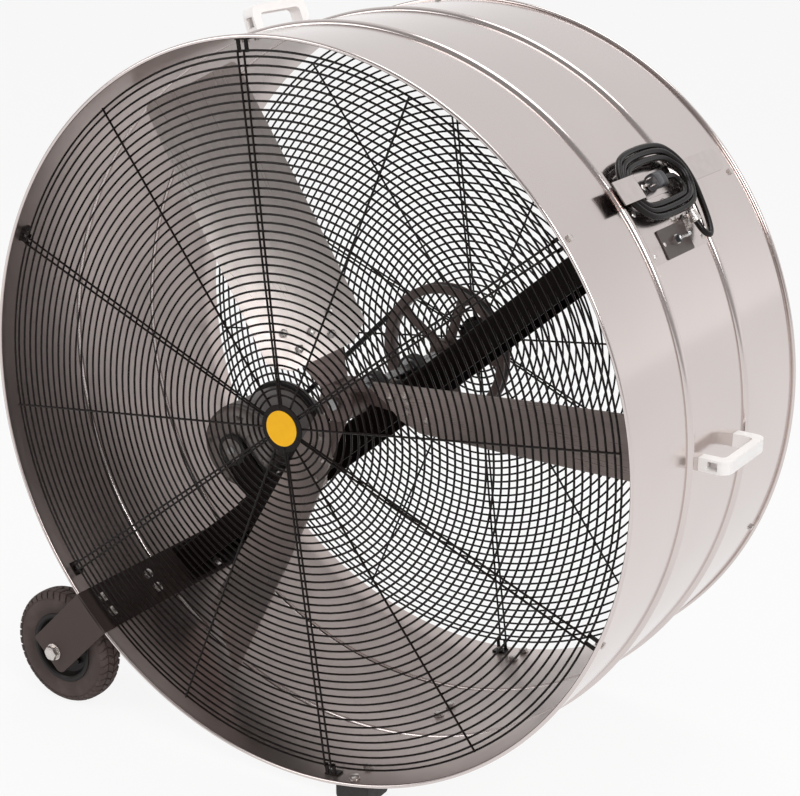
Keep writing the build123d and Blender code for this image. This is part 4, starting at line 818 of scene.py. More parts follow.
class FAN_OT_cord(Operator):
    """Add the coiled cord, its plug and the metal connector it leaves from"""

    bl_idname = "fan.cord"
    bl_label = "Cord"

    def execute(self, context):
        sizes = context.scene.fan_cord
        curve = bpy.data.curves.new("power_cord", "CURVE")
        curve.dimensions = "3D"
        spline = curve.splines.new("NURBS")
        route = [Vector((u, v, CORD_W)) for u, v in self.tail()] + self.settle(sizes, self.coil(sizes))
        route = [AXIS + CORD_FRAME @ point for point in route]
        spline.points.add(len(route) - 1)
        for point, at in zip(spline.points, route):
            point.co = (*at, 1)
        spline.order_u = 3
        spline.use_endpoint_u = True
        spline.resolution_u = 8
        curve.bevel_depth = sizes.diameter / 2
        curve.bevel_resolution = 6
        curve.use_fill_caps = True
        curve.materials.append(material("cord"))
        cord = bpy.data.objects.new("power_cord", curve)
        context.scene.collection.objects.link(cord)
        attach(cord, "housing")
        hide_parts("cord_tail", "cord_coil")
        plug = self.plug()
        prongs = self.prongs()
        self.connector()
        return {"FINISHED"}

    def tail(self):
        """From the connector down, round a tight turn and up to the coil."""
        return [(EXIT_U, -0.074), (EXIT_U, -0.0925), (0.061, -0.1050), (0.074, -0.098), (0.087, -0.080),
                (0.100, -0.053), (0.110, -0.029), (0.115, -0.010)]

    def settle(self, sizes, points):
        """Rounds the coil off, fuller along its top, and heaps its turns a little on the right."""
        settled = []
        for k, (u, v) in enumerate(points):
            loose = min(1.0, k / 4) if k < len(points) - 8 else 0.0
            if k and loose and abs(u - points[k - 1][0]) > 0.05:
                before = points[k - 1]
                settled.append(self.rest(sizes, (u + before[0]) / 2, (v + before[1]) / 2, loose))
            settled.append(self.rest(sizes, u, v, loose))
        return settled

    def rest(self, sizes, u, v, loose):
        """Where a point of the coil comes to lie."""
        middle = (sizes.left + sizes.right) / 2
        half = (sizes.right - sizes.left) / 2 + sizes.radius
        along = (u - middle) / half
        full = 0.13 if v > 0 else 0.0
        lift = 0.0034 * abs(math.sin(95 * v + 40 * u)) * max(0.0, min(1.0, (u - 0.01) / 0.06))
        return Vector((u, v * (1 + loose * (full - (0.2 + full) * along ** 2)), CORD_W + loose * lift))

    def coil(self, sizes):
        """Twelve points to a turn: an oval spiral that ends with a turn into its middle."""
        v = sizes.radius
        points = self.bend(sizes.right, 0.0, v, 0, 90, 3)
        side = -1
        for k in range(1, 6):
            radius = sizes.radius - k * sizes.pitch / 2
            centre = v + side * radius
            if side < 0:
                points += self.bend(sizes.left, centre, radius, 90, 270, 6)
            else:
                points += self.bend(sizes.right, centre, radius, -90, 90, 6)
            v += side * 2 * radius
            side = -side
        radius = (PLUG_V - v) / 2
        points += self.bend(sizes.right, v + radius, radius, -90, 90, 6)
        return points + [(0.0300, PLUG_V)]

    def bend(self, u, v, radius, start, end, count):
        """Corners of the line that hugs an arc from outside."""
        step = (end - start) / count
        reach = radius / math.cos(math.radians(step / 2))
        turns = [math.radians(start + step * (k + 0.5)) for k in range(count)]
        return [(u + reach * math.cos(t), v + reach * math.sin(t)) for t in turns]

    def plug(self):
        shape = Shape()
        rows = []
        stations = ((0.0300, 0.0062, 0.0062), (0.0292, 0.0068, 0.0068), (0.0270, 0.0072, 0.0070),
                    (0.0262, 0.0100, 0.0088), (0.0240, 0.0122, 0.0104), (0.0205, 0.0129, 0.0109),
                    (0.0185, 0.0120, 0.0103), (0.0170, 0.0129, 0.0109), (0.0150, 0.0120, 0.0103),
                    (0.0135, 0.0129, 0.0109), (0.0115, 0.0120, 0.0103), (0.0100, 0.0129, 0.0109),
                    (-0.0060, 0.0130, 0.0110), (-0.0076, 0.0126, 0.0106), (-0.0080, 0.0116, 0.0096))
        for u, wide, tall in stations:
            row = []
            for k in range(40):
                turn = 2 * math.pi * k / 40
                c = math.cos(turn)
                s = math.sin(turn)
                v = PLUG_V + wide * math.copysign(abs(c) ** 0.6, c)
                row.append(CORD_FRAME @ Vector((u, v, CORD_W + tall * math.copysign(abs(s) ** 0.6, s))))
            rows.append(row)
        shape.skin(rows)
        return piece("power_plug", shape, "switch_plastic", replaces=("plug",), sharp=50)

    def prongs(self):
        shape = Shape()
        for side in (-1, 1):
            place = CORD_FRAME @ shift(0, PLUG_V + side * 0.0063, CORD_W)
            outline = rounded(-0.020, -0.006, 0.0, 0.0064, 0.0012, 3)
            shape.prism(side_on(place), outline, -0.0008, 0.0008)
        place = CORD_FRAME @ axes(Vector((-0.0055, PLUG_V, CORD_W - 0.005)), Z, -X)
        shape.lathe(place, [(0, 0), (0.0024, 0), (0.0024, 0.0145), (0.0015, 0.0160), (0, 0.0160)], 20)
        return piece("plug_prongs", shape, "zinc_fastener", bevel=0.0003)

    def connector(self):
        """Die-cast elbow: lock ring on the plate, ribbed barrel and a clamp with two screws."""
        shape = Shape()
        place = on_wall(CORD_DEG - math.degrees(0.066 / DRUM_RADIUS), 0.3595)
        ring = []
        for k in range(48):
            reach = 0.0125 if k % 6 < 4 else 0.0112
            turn = 2 * math.pi * k / 48
            ring.append((reach * math.cos(turn), reach * math.sin(turn)))
        shape.prism(place, ring, 0.0016, 0.0046)
        shape.lathe(place, [(0, -0.008), (0.008, -0.008), (0.008, 0.0046), (0.0088, 0.0050), (0.0088, 0.0140),
                            (0.0075, 0.0160), (0, 0.0160)], 40)
        barrel = CORD_FRAME @ axes(Vector((EXIT_U, -0.0560, CORD_W)), X, -Y)
        profile = [(0, 0.0), (0.0072, 0.0), (0.0090, 0.0018)]
        for k in range(4):
            at = 0.0030 + 0.0024 * k
            profile += [(0.0095, at), (0.0095, at + 0.0012), (0.0089, at + 0.0014), (0.0089, at + 0.0022)]
        profile += [(0.0095, 0.0130), (0.0095, 0.0186), (0.0086, 0.0198), (0.0062, 0.0200), (0, 0.0200)]
        shape.lathe(barrel, profile, 48)
        clamp = barrel @ shift(0, 0, 0.0150)
        shape.prism(clamp, rounded(-0.012, 0.012, -0.0045, 0.0045, 0.0015, 3), -0.0025, 0.0025)
        for side in (-1, 1):
            screw = CORD_FRAME @ shift(EXIT_U + side * 0.0098, -0.071, CORD_W + 0.0042)
            shape.dome(screw, 0.0022, 0.0014)
        return piece("cord_connector", shape, "zinc_fastener", replaces=("strain_relief",), bevel=0.0004)


class FAN_OT_drum(Operator):
    """Add the drum: rolled sheet with two beads and wired rims"""

    bl_idname = "fan.drum"
    bl_label = "Drum"

    def execute(self, context):
        sizes = context.scene.fan_drum
        shape = Shape()
        shape.lathe(axial(), self.section(sizes), 240)
        piece("drum_sheet", shape, "drum", replaces=("drum_shell",), sharp=60)
        dress("drum", "seam_strip")
        return {"FINISHED"}

    def section(self, sizes):
        """Closed outline of the sheet, from the front rim round to it again."""
        inner = sizes.radius - sizes.sheet
        front = arc((inner + sizes.rim, sizes.rim), sizes.rim, 180, 484.8, 14)
        outer = self.wall_line(sizes, sizes.radius, sizes.bead_half)
        rear = [(r, DEPTH - y) for r, y in reversed(front)]
        under = self.wall_line(sizes, inner, sizes.bead_half - sizes.sheet)
        return front + outer + rear + list(reversed(under))

    def wall_line(self, sizes, radius, half):
        """One face of the sheet over both beads."""
        points = []
        for bead in (MIDDLE - sizes.bead_offset, MIDDLE + sizes.bead_offset):
            rise = sizes.bead_rise
            reach = (half ** 2 + rise ** 2) / 2 / rise
            swing = math.degrees(math.asin(min(1.0, half / reach)))
            for turn in [swing * k / 5 for k in range(-5, 6)]:
                t = math.radians(turn)
                points.append((radius + rise - reach + reach * math.cos(t), bead + reach * math.sin(t)))
        return points


class FAN_OT_guards(Operator):
    """Add both wire guards with their clips, middle plates and the plain badge"""

    bl_idname = "fan.guards"
    bl_label = "Guards"

    def execute(self, context):
        sizes = context.scene.fan_guard
        for name, rear in (("front", False), ("rear", True)):
            shape = Shape()
            self.rings(shape, sizes)
            self.spokes(shape, sizes)
            plate = Shape()
            self.plate(plate, sizes)
            if rear:
                self.turn_round(shape)
                self.turn_round(plate)
            piece(name + "_wire_guard", shape, "guard_wire", replaces=(name + "_guard",))
            old = name + "_center_plate"
            piece(name + "_middle_plate", plate, "guard_wire", replaces=(old,), bevel=0.0004)
        self.badge(sizes)
        dress("guard_wire", "guard_clips")
        self.screws(sizes)
        return {"FINISHED"}

    def badge(self, sizes):
        """Plain disc with a raised edge and a faintly crowned face."""
        shape = Shape()
        back = self.depth(sizes, SPOKE_END) - sizes.wire / 2 - 0.0023
        r = sizes.badge
        shape.lathe(axial(), [(0, back), (r - 0.0004, back), (r, back - 0.0004), (r, back - 0.0010),
                              (r - 0.0006, back - 0.0013), (r - 0.0020, back - 0.0013),
                              (r - 0.0024, back - 0.0009), (0, back - 0.0012)], 72)
        piece("badge_disc_plain", shape, "badge", replaces=("badge_disc",))

    def depth(self, sizes, radius):
        return sizes.edge - sizes.rise * (1 - radius / sizes.last)

    def turn_round(self, shape):
        for point in shape.points:
            point.y = DEPTH - point.y

    def rings(self, shape, sizes):
        radii = [sizes.first, 0.0645, 0.0765, 0.090]
        while radii[-1] + sizes.pitch < sizes.last - sizes.pitch / 2:
            radii.append(radii[-1] + sizes.pitch)
        radii.append(sizes.last)
        for radius in radii:
            y = self.depth(sizes, radius) + sizes.wire * 0.93
            steps = 48 if radius < 0.12 else 96 if radius < 0.35 else 160
            shape.pipe([polar(radius, 360 * k / steps, y) for k in range(steps)], sizes.wire / 2, 8, True)

    def spokes(self, shape, sizes):
        """Single spokes, and pairs that close up towards the middle."""
        inner = Vector((SPOKE_END, self.depth(sizes, SPOKE_END), 0))
        rim = sizes.last + 0.0015
        for k in range(6):
            outer = Vector((rim, self.depth(sizes, rim), 0))
            self.bar(shape, [inner, outer], SINGLE_DEG + 60 * k, sizes)
            outer = Vector((rim, self.depth(sizes, sizes.last), 0))
            for side in (-0.5, 0.5):
                pair = [inner + Z * side * sizes.pair_hub, outer + Z * side * sizes.pair_rim]
                self.bar(shape, pair, PAIR_DEG + 60 * k, sizes)

    def bar(self, shape, ends, deg, sizes):
        turn = Matrix.Rotation(math.radians(-deg), 3, "Y")
        shape.pipe([turn @ end for end in ends], sizes.wire / 2, 10)

    def plate(self, shape, sizes):
        """Pressed plate with a bolt head at each pair of spokes."""
        back = self.depth(sizes, SPOKE_END) - sizes.wire / 2 - 0.0003
        front = back - 0.002
        r = sizes.plate
        shape.lathe(axial(), [(0, back), (r - 0.0006, back), (r, back - 0.0005), (r, front + 0.0009),
                              (r - 0.0009, front), (0, front)], 72)
        for deg in PAIRS:
            place = axes(polar(SPOKE_END + 0.001, deg, front), X, -Y)
            shape.dome(place, 0.0024, 0.0018)

    def screws(self, sizes):
        """Bolts through the drum that hold the clips of both guards."""
        shape = Shape()
        y = sizes.edge + 0.0154
        for deg in PAIRS:
            for at in (y, DEPTH - y):
                shape.hex_bolt(on_wall(deg, at), 0.0047, 0.003)
        piece("guard_fasteners", shape, "zinc_fastener", replaces=("guard_screws",))


class FAN_OT_handles(Operator):
    """Add the two moulded bow handles with their sunk screws"""

    bl_idname = "fan.handles"
    bl_label = "Handles"

    def execute(self, context):
        screws = Shape()
        for name, deg in (("right_handle", -0.6), ("top_handle", 110.4)):
            y = MIDDLE + 0.002
            place = on_wall(deg, y)
            shape = Shape()
            shape.prism(side_on(place), self.outline(), -0.011, 0.011)
            made = piece(name + "_bow", shape, "handle", replaces=(name,), bevel=0.0035)
            pocket = Shape()
            for side in (-1, 1):
                turned = place @ Matrix.Rotation(math.pi * (side < 0), 4, "Z")
                end = turned @ axes(Vector((0.075, 0, 0.023)), Y, X)
                pocket.prism(end, rounded(-0.007, 0.007, -0.009, 0.009, 0.002, 3), -0.014, 0.020)
            carve(made, pocket)
            for side in (-1, 1):
                at = on_wall(deg, y + side * 0.067, DRUM_RADIUS + 0.0141)
                screws.dome(at, 0.0048, 0.003)
                screws.shank(at, 0.003, -0.0217, 0.0)
                screws.hexagon(at @ shift(0, 0, -0.0157), 0.0102, -0.005)
        piece("handle_fasteners", screws, "zinc_fastener", replaces=("handle_screws",))
        return {"FINISHED"}

    def outline(self):
        """Bow seen from the side, legs standing on the drum."""
        half = 0.075
        top = 0.050
        r = 0.018
        gap = 0.055
        under = 0.036
        small = 0.009
        foot = 0.0001
        outer = [(-half, foot)] + arc((-half + r, top - r), r, 180, 90, 10)
        outer += arc((half - r, top - r), r, 90, 0, 10) + [(half, foot)]
        inner = arc((gap - small, under - small), small, 0, 90, 6)
        inner += arc((-gap + small, under - small), small, 90, 180, 6)
        return outer + [(gap, foot)] + inner + [(-gap, foot)]


class FAN_OT_channel(Operator):
    """Add the folded cross channel with its end pads and bolts"""

    bl_idname = "fan.channel"
    bl_label = "Cross channel"

    def execute(self, context):
        shape = Shape()
        y0 = 0.252
        y1 = 0.401
        wall = 0.005
        bend = 0.008
        low = -0.074
        turn = -0.024 - bend
        outer = [(y0, low)] + arc((y0 + bend, turn), bend, 180, 90, 5)
        outer += arc((y1 - bend, turn), bend, 90, 0, 5) + [(y1, low)]
        inner = arc((y1 - bend, turn), bend - wall, 0, 90, 4)
        inner += arc((y0 + bend, turn), bend - wall, 90, 180, 4)
        section = outer + [(y1 - wall, low)] + inner + [(y0 + wall, low)]
        reach = 0.6114
        rows = []
        for side in (-1, 1):
            rows.append([BEAM @ Vector((side * math.sqrt(reach ** 2 - v ** 2), y, v)) for y, v in section])
        shape.skin(rows)
        piece("folded_channel", shape, "black_steel", replaces=("cross_channel",), bevel=0.0008)
        dress("black_steel", "channel_end_pads")
        bolts = Shape()
        middle = (y0 + y1) / 2
        for v in (-0.039, -0.080):
            lean = math.degrees(math.asin(v / reach))
            bolts.hex_bolt(in_wall(BEAM_DEG + 180 - lean, middle, reach - 0.0001), 0.0109, 0.005)
        for v in (-0.039, -0.060):
            lean = math.degrees(math.asin(v / reach))
            place = on_wall(BEAM_DEG + lean, middle, DRUM_RADIUS + 0.0016)
            bolts.dome(place, 0.009, 0.003)
            bolts.hexagon(place @ shift(0, 0, -0.0124), 0.017, -0.008)
            bolts.shank(place, 0.005, -0.0224, 0.0)
        piece("channel_fasteners", bolts, "zinc_fastener", replaces=("channel_bolts",))
        return {"FINISHED"}


class FAN_OT_fan(Operator):
    """Add the shaft, its bearings, the spider and the three blades"""

    bl_idname = "fan.fan"
    bl_label = "Fan"

    def execute(self, context):
        sizes = context.scene.fan_blade
        bolts = Shape()
        for k in range(3):
            deg = math.degrees(sizes.start) + 120 * k
            self.blade(sizes, deg, "blade_%d" % (k + 1))
            self.blade_bolts(bolts, sizes, deg)
        piece("blade_fasteners", bolts, "zinc_fastener", "fan_rotor", ("blade_bolts",))
        self.spider(sizes)
        shaft = Shape()
        shaft.lathe(axial(), [(0, 0.140), (0.0098, 0.140), (0.011, 0.1412), (0.011, 0.5208), (0.0098, 0.522),
                              (0, 0.522)], 48)
        piece("ground_shaft", shaft, "shaft_steel", "fan_rotor", ("fan_shaft",), sharp=25)
        dress("shaft_steel", "bearing_inserts")
        self.housings()
        return {"FINISHED"}

    def frame(self, sizes, deg, s):
        """Place on a blade: x along the chord, y out of its front face."""
        share = (s - sizes.root) / (sizes.tip - sizes.root)
        pitch = sizes.pitch_root + (sizes.pitch_tip - sizes.pitch_root) * share
        chord = polar(1, deg + 90) * math.cos(pitch) - Y * math.sin(pitch)
        return axes(polar(s, deg, BLADE_Y), chord, polar(1, deg))

    def half(self, sizes, s):
        if s < sizes.root:
            share = (s - sizes.heel) / (sizes.root - sizes.heel)
            return (sizes.chord_heel + (sizes.chord_root - sizes.chord_heel) * share) / 2
        share = (s - sizes.root) / (sizes.tip - sizes.root)
        return (sizes.chord_root + (sizes.chord_tip - sizes.chord_root) * share ** 2) / 2

    def sag(self, sizes, half):
        return sizes.bow - math.sqrt(sizes.bow ** 2 - half ** 2)

    def strip(self, sizes, half, top, thick, steps=20):
        """Outline of a bent strip seen along the blade."""
        spots = [half * (2 * k / steps - 1) for k in range(steps + 1)]
        front = [(x, top + self.sag(sizes, x)) for x in spots]
        return front + [(x, y - thick) for x, y in reversed(front)]

    def blade(self, sizes, deg, node):
        shape = Shape()
        top = -self.sag(sizes, sizes.chord_root / 2)
        corner = 0.010
        stations = [sizes.heel, (sizes.heel + sizes.root) / 2, sizes.root]
        stations += [sizes.root + (sizes.tip - corner - sizes.root) * k / 24 for k in range(1, 25)]
        stations += [sizes.tip - corner * (1 - math.sin(math.radians(15 * k))) for k in range(1, 7)]
        rows = []
        for s in stations:
            cut = max(0.0, s - (sizes.tip - corner))
            half = self.half(sizes, s) - corner + math.sqrt(max(0.0, corner ** 2 - cut ** 2))
            place = self.frame(sizes, deg, s)
            rows.append([place @ Vector((x, y, 0)) for x, y in self.strip(sizes, half, top, sizes.thick)])
        shape.skin(rows)
        piece(node + "_sheet", shape, "blade", "fan_rotor", (node,), sharp=40)

    def bolt_places(self, sizes, deg):
        top = -self.sag(sizes, sizes.chord_root / 2)
        places = []
        for s, across in ((0.1095, -0.030), (0.1095, 0.030), (0.127, 0.0), (0.1445, -0.043), (0.1445, 0.043)):
            place = self.frame(sizes, deg, s)
            chord, front, along = place.to_3x3().transposed()
            normal = (front - chord * (across / sizes.bow)).normalized()
            at = place @ Vector((across, top + self.sag(sizes, across), 0)) + normal * 0.0002
            places.append(axes(at, along, normal))
        return places

    def blade_bolts(self, shape, sizes, deg):
        for place in self.bolt_places(sizes, deg):
            shape.hex_bolt(place, 0.0095, 0.004)

    def spider(self, sizes):
        """Hub barrel with three arms under the blades."""
        shape = Shape()
        shape.lathe(axial(), [(SHAFT_BORE, 0.150), (0.032, 0.150), (0.034, 0.152), (0.034, 0.204),
                              (0.032, 0.206), (SHAFT_BORE, 0.206)], 64)
        top = -self.sag(sizes, sizes.chord_root / 2) - sizes.thick - 0.0004
        for k in range(3):
            deg = math.degrees(sizes.start) + 120 * k
            rows = []
            for s, half in ((0.024, 0.022), (0.081, 0.038), (0.154, 0.0538), (0.160, 0.0525), (0.163, 0.049),
                            (0.164, 0.044)):
                place = self.frame(sizes, deg, s)
                rows.append([place @ Vector((x, y, 0)) for x, y in self.strip(sizes, half, top, 0.006, 10)])
            shape.skin(rows)
        piece("spider_hub", shape, "hub_steel", "fan_rotor", ("fan_hub",), bevel=0.0008)

    def housings(self):
        """Pillow blocks: each a ring on a flared foot, bolted down through washers."""
        bolts = Shape()
        for name, y in (("front_bearing_housing", 0.267), ("rear_bearing_housing", 0.387)):
            shape = Shape()
            low = y - 0.012
            foot = [(-0.048, -0.024), (0.048, -0.024), (0.048, -0.017), (0.046, -0.016), (0.026, -0.016)]
            foot += [(0.0236, -0.010), (0.0226, 0.0)]
            foot += arc((0, 0), 0.0210, 0, -180, 16)
            foot += [(-0.0226, 0.0), (-0.0236, -0.010), (-0.026, -0.016), (-0.046, -0.016), (-0.048, -0.017)]
            shape.prism(side_on(BEAM), foot, -low - 0.024, -low)
            ring = axial(Vector((0, y, 0)))
            shape.lathe(ring, [(0.020, -0.012), (0.0228, -0.012), (0.024, -0.0108), (0.024, 0.0108),
                               (0.0228, 0.012), (0.020, 0.012)], 64)
            piece(name + "_block", shape, "bearing_iron", replaces=(name,), bevel=0.0012)
            for side in (-1, 1):
                place = BEAM @ shift(side * 0.038, y, -0.016)
                bolts.washer(place, 0.0080, 0.0, 0.0012)
                bolts.hex_bolt(place @ shift(0, 0, 0.0002), 0.013, 0.004)
        piece("bearing_fasteners", bolts, "zinc_fastener", replaces=("bearing_bolts",))


class FAN_OT_drive(Operator):
    """Add the two pulleys and the belt"""

    bl_idname = "fan.drive"
    bl_label = "Belt drive"

    def execute(self, context):
        big = Shape()
        place = axial(Vector((0, BELT_Y, 0)))
        rim = self.groove(0.128, 0.012)
        big.lathe(place, [(0.113, -0.012)] + rim + [(0.113, 0.012), (0.111, 0.009), (0.111, -0.009)], 128)
        big.lathe(place, [(SHAFT_BORE, -0.018), (0.024, -0.018), (0.026, -0.016), (0.026, 0.016),
                          (0.024, 0.018), (SHAFT_BORE, 0.018)], 64)
        for k in range(5):
            turn = place @ Matrix.Rotation(math.radians(72 * k), 4, "Z")
            rows = []
            for x, half, thick in ((0.022, 0.012, 0.0055), (0.045, 0.0095, 0.005), (0.090, 0.0088, 0.0045),
                                   (0.114, 0.011, 0.005)):
                turns = [math.radians(t) for t in range(0, 360, 20)]
                rows.append([turn @ Vector((x, half * math.cos(t), thick * math.sin(t))) for t in turns])
            big.skin(rows)
        piece("spoked_pulley", big, "pulley", "fan_rotor", ("driven_pulley",), bevel=0.0006)
        small = Shape()
        place = axial(MOTOR + Vector((0, BELT_Y, 0)))
        small.lathe(place, [(0.00803, -0.012)] + self.groove(0.038, 0.012) + [(0.00803, 0.012)], 80)
        piece("small_pulley", small, "pulley", "motor_rotor", ("motor_pulley",), bevel=0.0005)
        dress("belt", "drive_belt")
        return {"FINISHED"}

    def groove(self, radius, half):
        """Outer outline of a V-belt rim from its front face to its rear one."""
        belt_half = 0.0065
        room = 0.0005
        slope = 0.0025 / 0.008
        top = belt_half + room + slope * 0.002
        base = 0.0045
        deep = radius - 0.0105
        edge = 0.0006
        return [(radius - edge, -half), (radius, -half + edge), (radius, -top), (deep, -base), (deep, base),
                (radius, top), (radius, half - edge), (radius - edge, half)]


class FAN_OT_motor(Operator):
    """Add the motor with its bells, rubber rings and bolts"""

    bl_idname = "fan.motor"
    bl_label = "Motor"

    def execute(self, context):
        place = axial(MOTOR)
        bell = Shape()
        bell.lathe(place, [(MOTOR_BORE, 0.268), (0.0210, 0.268), (0.022, 0.269), (0.022, 0.2795),
                           (0.026, 0.2815), (0.060, 0.2805), (0.068, 0.283), (0.0755, 0.289),
                           (0.078, 0.2925), (0.078, 0.302), (MOTOR_BORE, 0.302)], 96)
        for k in range(12):
            turn = place @ Matrix.Rotation(math.radians(30 * k + 15), 4, "Z")
            bell.box(turn, 0.024, 0.066, -0.0014, 0.0014, 0.2795, 0.284)
        for k in range(4):
            spot = polar(0.061, BEAM_DEG + 45 + 90 * k, 0.2810) + MOTOR
            bell.hexagon(axes(spot, X, -Y), 0.008, 0.0055)
        piece("front_bell", bell, "motor_bell", replaces=("motor_front_bell",), bevel=0.0006)
        shell = Shape()
        shell.lathe(place, [(0.077, 0.302), (0.0793, 0.302), (0.080, 0.3027), (0.080, 0.4293),
                            (0.0793, 0.430), (0.077, 0.430)], 96)
        piece("motor_can", shell, "motor_body", replaces=("motor_shell",))
        rear = Shape()
        rear.lathe(place, [(MOTOR_BORE, 0.430), (0.0865, 0.430), (0.088, 0.4315), (0.088, 0.441),
                           (0.085, 0.4455), (0.078, 0.4500), (0.072, 0.452), (0.024, 0.452), (0.022, 0.4535),
                           (0.022, 0.463), (0.021, 0.464), (MOTOR_BORE, 0.464)], 96)
        piece("rear_bell", rear, "motor_dark", replaces=("motor_rear_bell",), bevel=0.0006)
        rings = Shape()
        for low in (0.269, 0.454):
            rings.lathe(place, [(0.0221, low), (0.0290, low), (0.030, low + 0.001), (0.030, low + 0.008),
                                (0.0290, low + 0.009), (0.0221, low + 0.009)], 64)
        piece("rubber_rings", rings, "rubber", replaces=("motor_rings",))
        bolts = Shape()
        for y in (0.297, 0.376):
            for side in (-1, 1):
                at = BEAM @ shift(MOTOR_ALONG + side * 0.048, y, -0.020)
                bolts.hex_bolt(at, 0.009, 0.004)
        piece("motor_fasteners", bolts, "zinc_fastener", replaces=("motor_bolts",))
        dress("black_steel", "motor_cradle", "motor_junction_box")
        dress("copper_core", "motor_stator")
        dress("shaft_steel", "motor_shaft")
        dress("cord", "motor_lead")
        return {"FINISHED"}


class FAN_OT_wheels(Operator):
    """Add the wheel bracket, the axle and both wheels"""

    bl_idname = "fan.wheels"
    bl_label = "Wheels"

    def execute(self, context):
        sizes = context.scene.fan_wheel
        for end, y in (("front", 0.036), ("rear", DEPTH - 0.036)):
            place = axial(AXLE + Vector((0, y, 0)))
            tyre = Shape()
            self.tyre(tyre, place, sizes)
            piece(end + "_knobbed_tyre", tyre, "tyre", end + "_wheel", (end + "_tyre",), sharp=40)
            rim = Shape()
            self.rim(rim, place)
            piece(end + "_dished_rim", rim, "wheel_rim", end + "_wheel", (end + "_rim",), sharp=30)
        self.bracket()
        self.axle()
        return {"FINISHED"}

    def tyre(self, shape, place, sizes):
        """Carcass with four rows of leaning blocks."""
        side = [(0.0631, 0.0190), (0.0650, 0.0203), (0.0690, 0.0205), (0.0725, 0.0222), (0.0780, 0.0246),
                (0.0850, 0.0259), (0.0920, 0.0256), (0.0975, 0.0243), (0.1020, 0.0212), (0.1053, 0.0145),
                (0.1070, 0.0)]
        back = [(r, -y) for r, y in reversed(side[:-1])]
        shape.lathe(place, side + back, 96)
        pitch = 360 / sizes.blocks
        edge = sizes.width / 2
        inner = 0.0136
        rows = ((-edge, -inner), (-inner, 0.0), (0.0, inner), (inner, edge))
        gap = sizes.groove / 2
        for row, (low, high) in enumerate(rows):
            odd = row % 2
            lean = (odd - 0.5) * pitch
            for k in range(sizes.blocks):
                start = (k + 0.5 * odd) * pitch
                self.block(shape, place, sizes, (start, start + pitch * 0.8), (low + gap, high - gap), lean)

    def block(self, shape, place, sizes, turns, across, lean):
        """One leaning block of the tread, following the tyre's round crown."""
        y0, y1 = across
        middle = (y0 + y1) / 2
        rows = []
        for sunk, trim, cut in ((0.0045, 0.0, 0.0), (0.0005, 0.1, 0.0002), (0.0, 0.35, 0.0007)):
            a = turns[0] + trim
            b = turns[1] - trim
            half = (a + b) / 2
            low = y0 + cut
            high = y1 - cut
            loop = []
            for deg, y in ((a, low), (half, low), (b, low), (b, middle), (b, high), (half, high), (a, high),
                           (a, middle)):
                t = math.radians(deg + lean * (y - y0) / (y1 - y0))
                radius = sizes.radius - 0.0095 * (abs(y) / (sizes.width / 2)) ** 3 - sunk
                loop.append(round_point(place, radius, t, y))
            rows.append(loop)
        shape.skin(rows)

    def rim(self, shape, place):
        """Dished rim with a hub and four nuts on each side."""
        half = [(AXLE_BORE, 0.030), (0.0195, 0.030), (0.021, 0.0285), (0.021, 0.0100), (0.0235, 0.0072),
                (0.0470, 0.0068), (0.0520, 0.0085), (0.0555, 0.0140), (0.0575, 0.0205), (0.0605, 0.0230),
                (0.0660, 0.0230), (0.0670, 0.0222), (0.0670, 0.0210), (0.0642, 0.0202), (0.0630, 0.0185)]
        shape.lathe(place, half + [(r, -y) for r, y in reversed(half)], 96)
        for k in range(4):
            spot = place @ Matrix.Rotation(math.radians(45 + 90 * k), 4, "Z") @ shift(0.036, 0, 0)
            for side in (spot, spot @ Matrix.Rotation(math.pi, 4, "X")):
                shape.hexagon(side, 0.011, 0.005, 0.0069)

    def bracket(self):
        """Plate inside the drum with an ear folded out over each rim."""
        shape = Shape()
        half = 0.043
        outer = 0.6204
        inner = 0.6155
        gap = 0.0001
        plate = 0.005
        half_deg = math.degrees(math.asin(half / inner))
        rows = []
        for y in (-plate - gap, 0.002, MIDDLE, DEPTH - 0.002, DEPTH + plate + gap):
            degs = [BRACKET_DEG - half_deg + 2 * half_deg * k / 10 for k in range(11)]
            rows.append([polar(outer, d, y) for d in degs] + [polar(inner, d, y) for d in reversed(degs)])
        shape.skin(rows)
        turn = axes(Vector(), polar(1, BRACKET_DEG), Y)
        reach = 0.780
        corner = 0.013
        outline = [(inner + 0.001, half), (reach - 0.003, half), (reach, half - 0.003)]
        outline += arc((reach - corner, corner - half), corner, 0, -90, 6)
        outline += [(inner + 0.001, -half)]
        shape.prism(turn, outline, -plate - gap, -gap)
        shape.prism(turn, outline, DEPTH + gap, DEPTH + plate + gap)
        piece("folded_bracket", shape, "bracket", replaces=("wheel_bracket",), bevel=0.0009)
        bolts = Shape()
        for y in (0.037, 0.163, 0.449, 0.575):
            for side in (-1, 1):
                bolts.hex_bolt(in_wall(BRACKET_DEG + side * 1.45, y, inner - 0.0001), 0.0068, 0.005)
        piece("bracket_fasteners", bolts, "zinc_fastener", replaces=("wheel_bracket_bolts",))

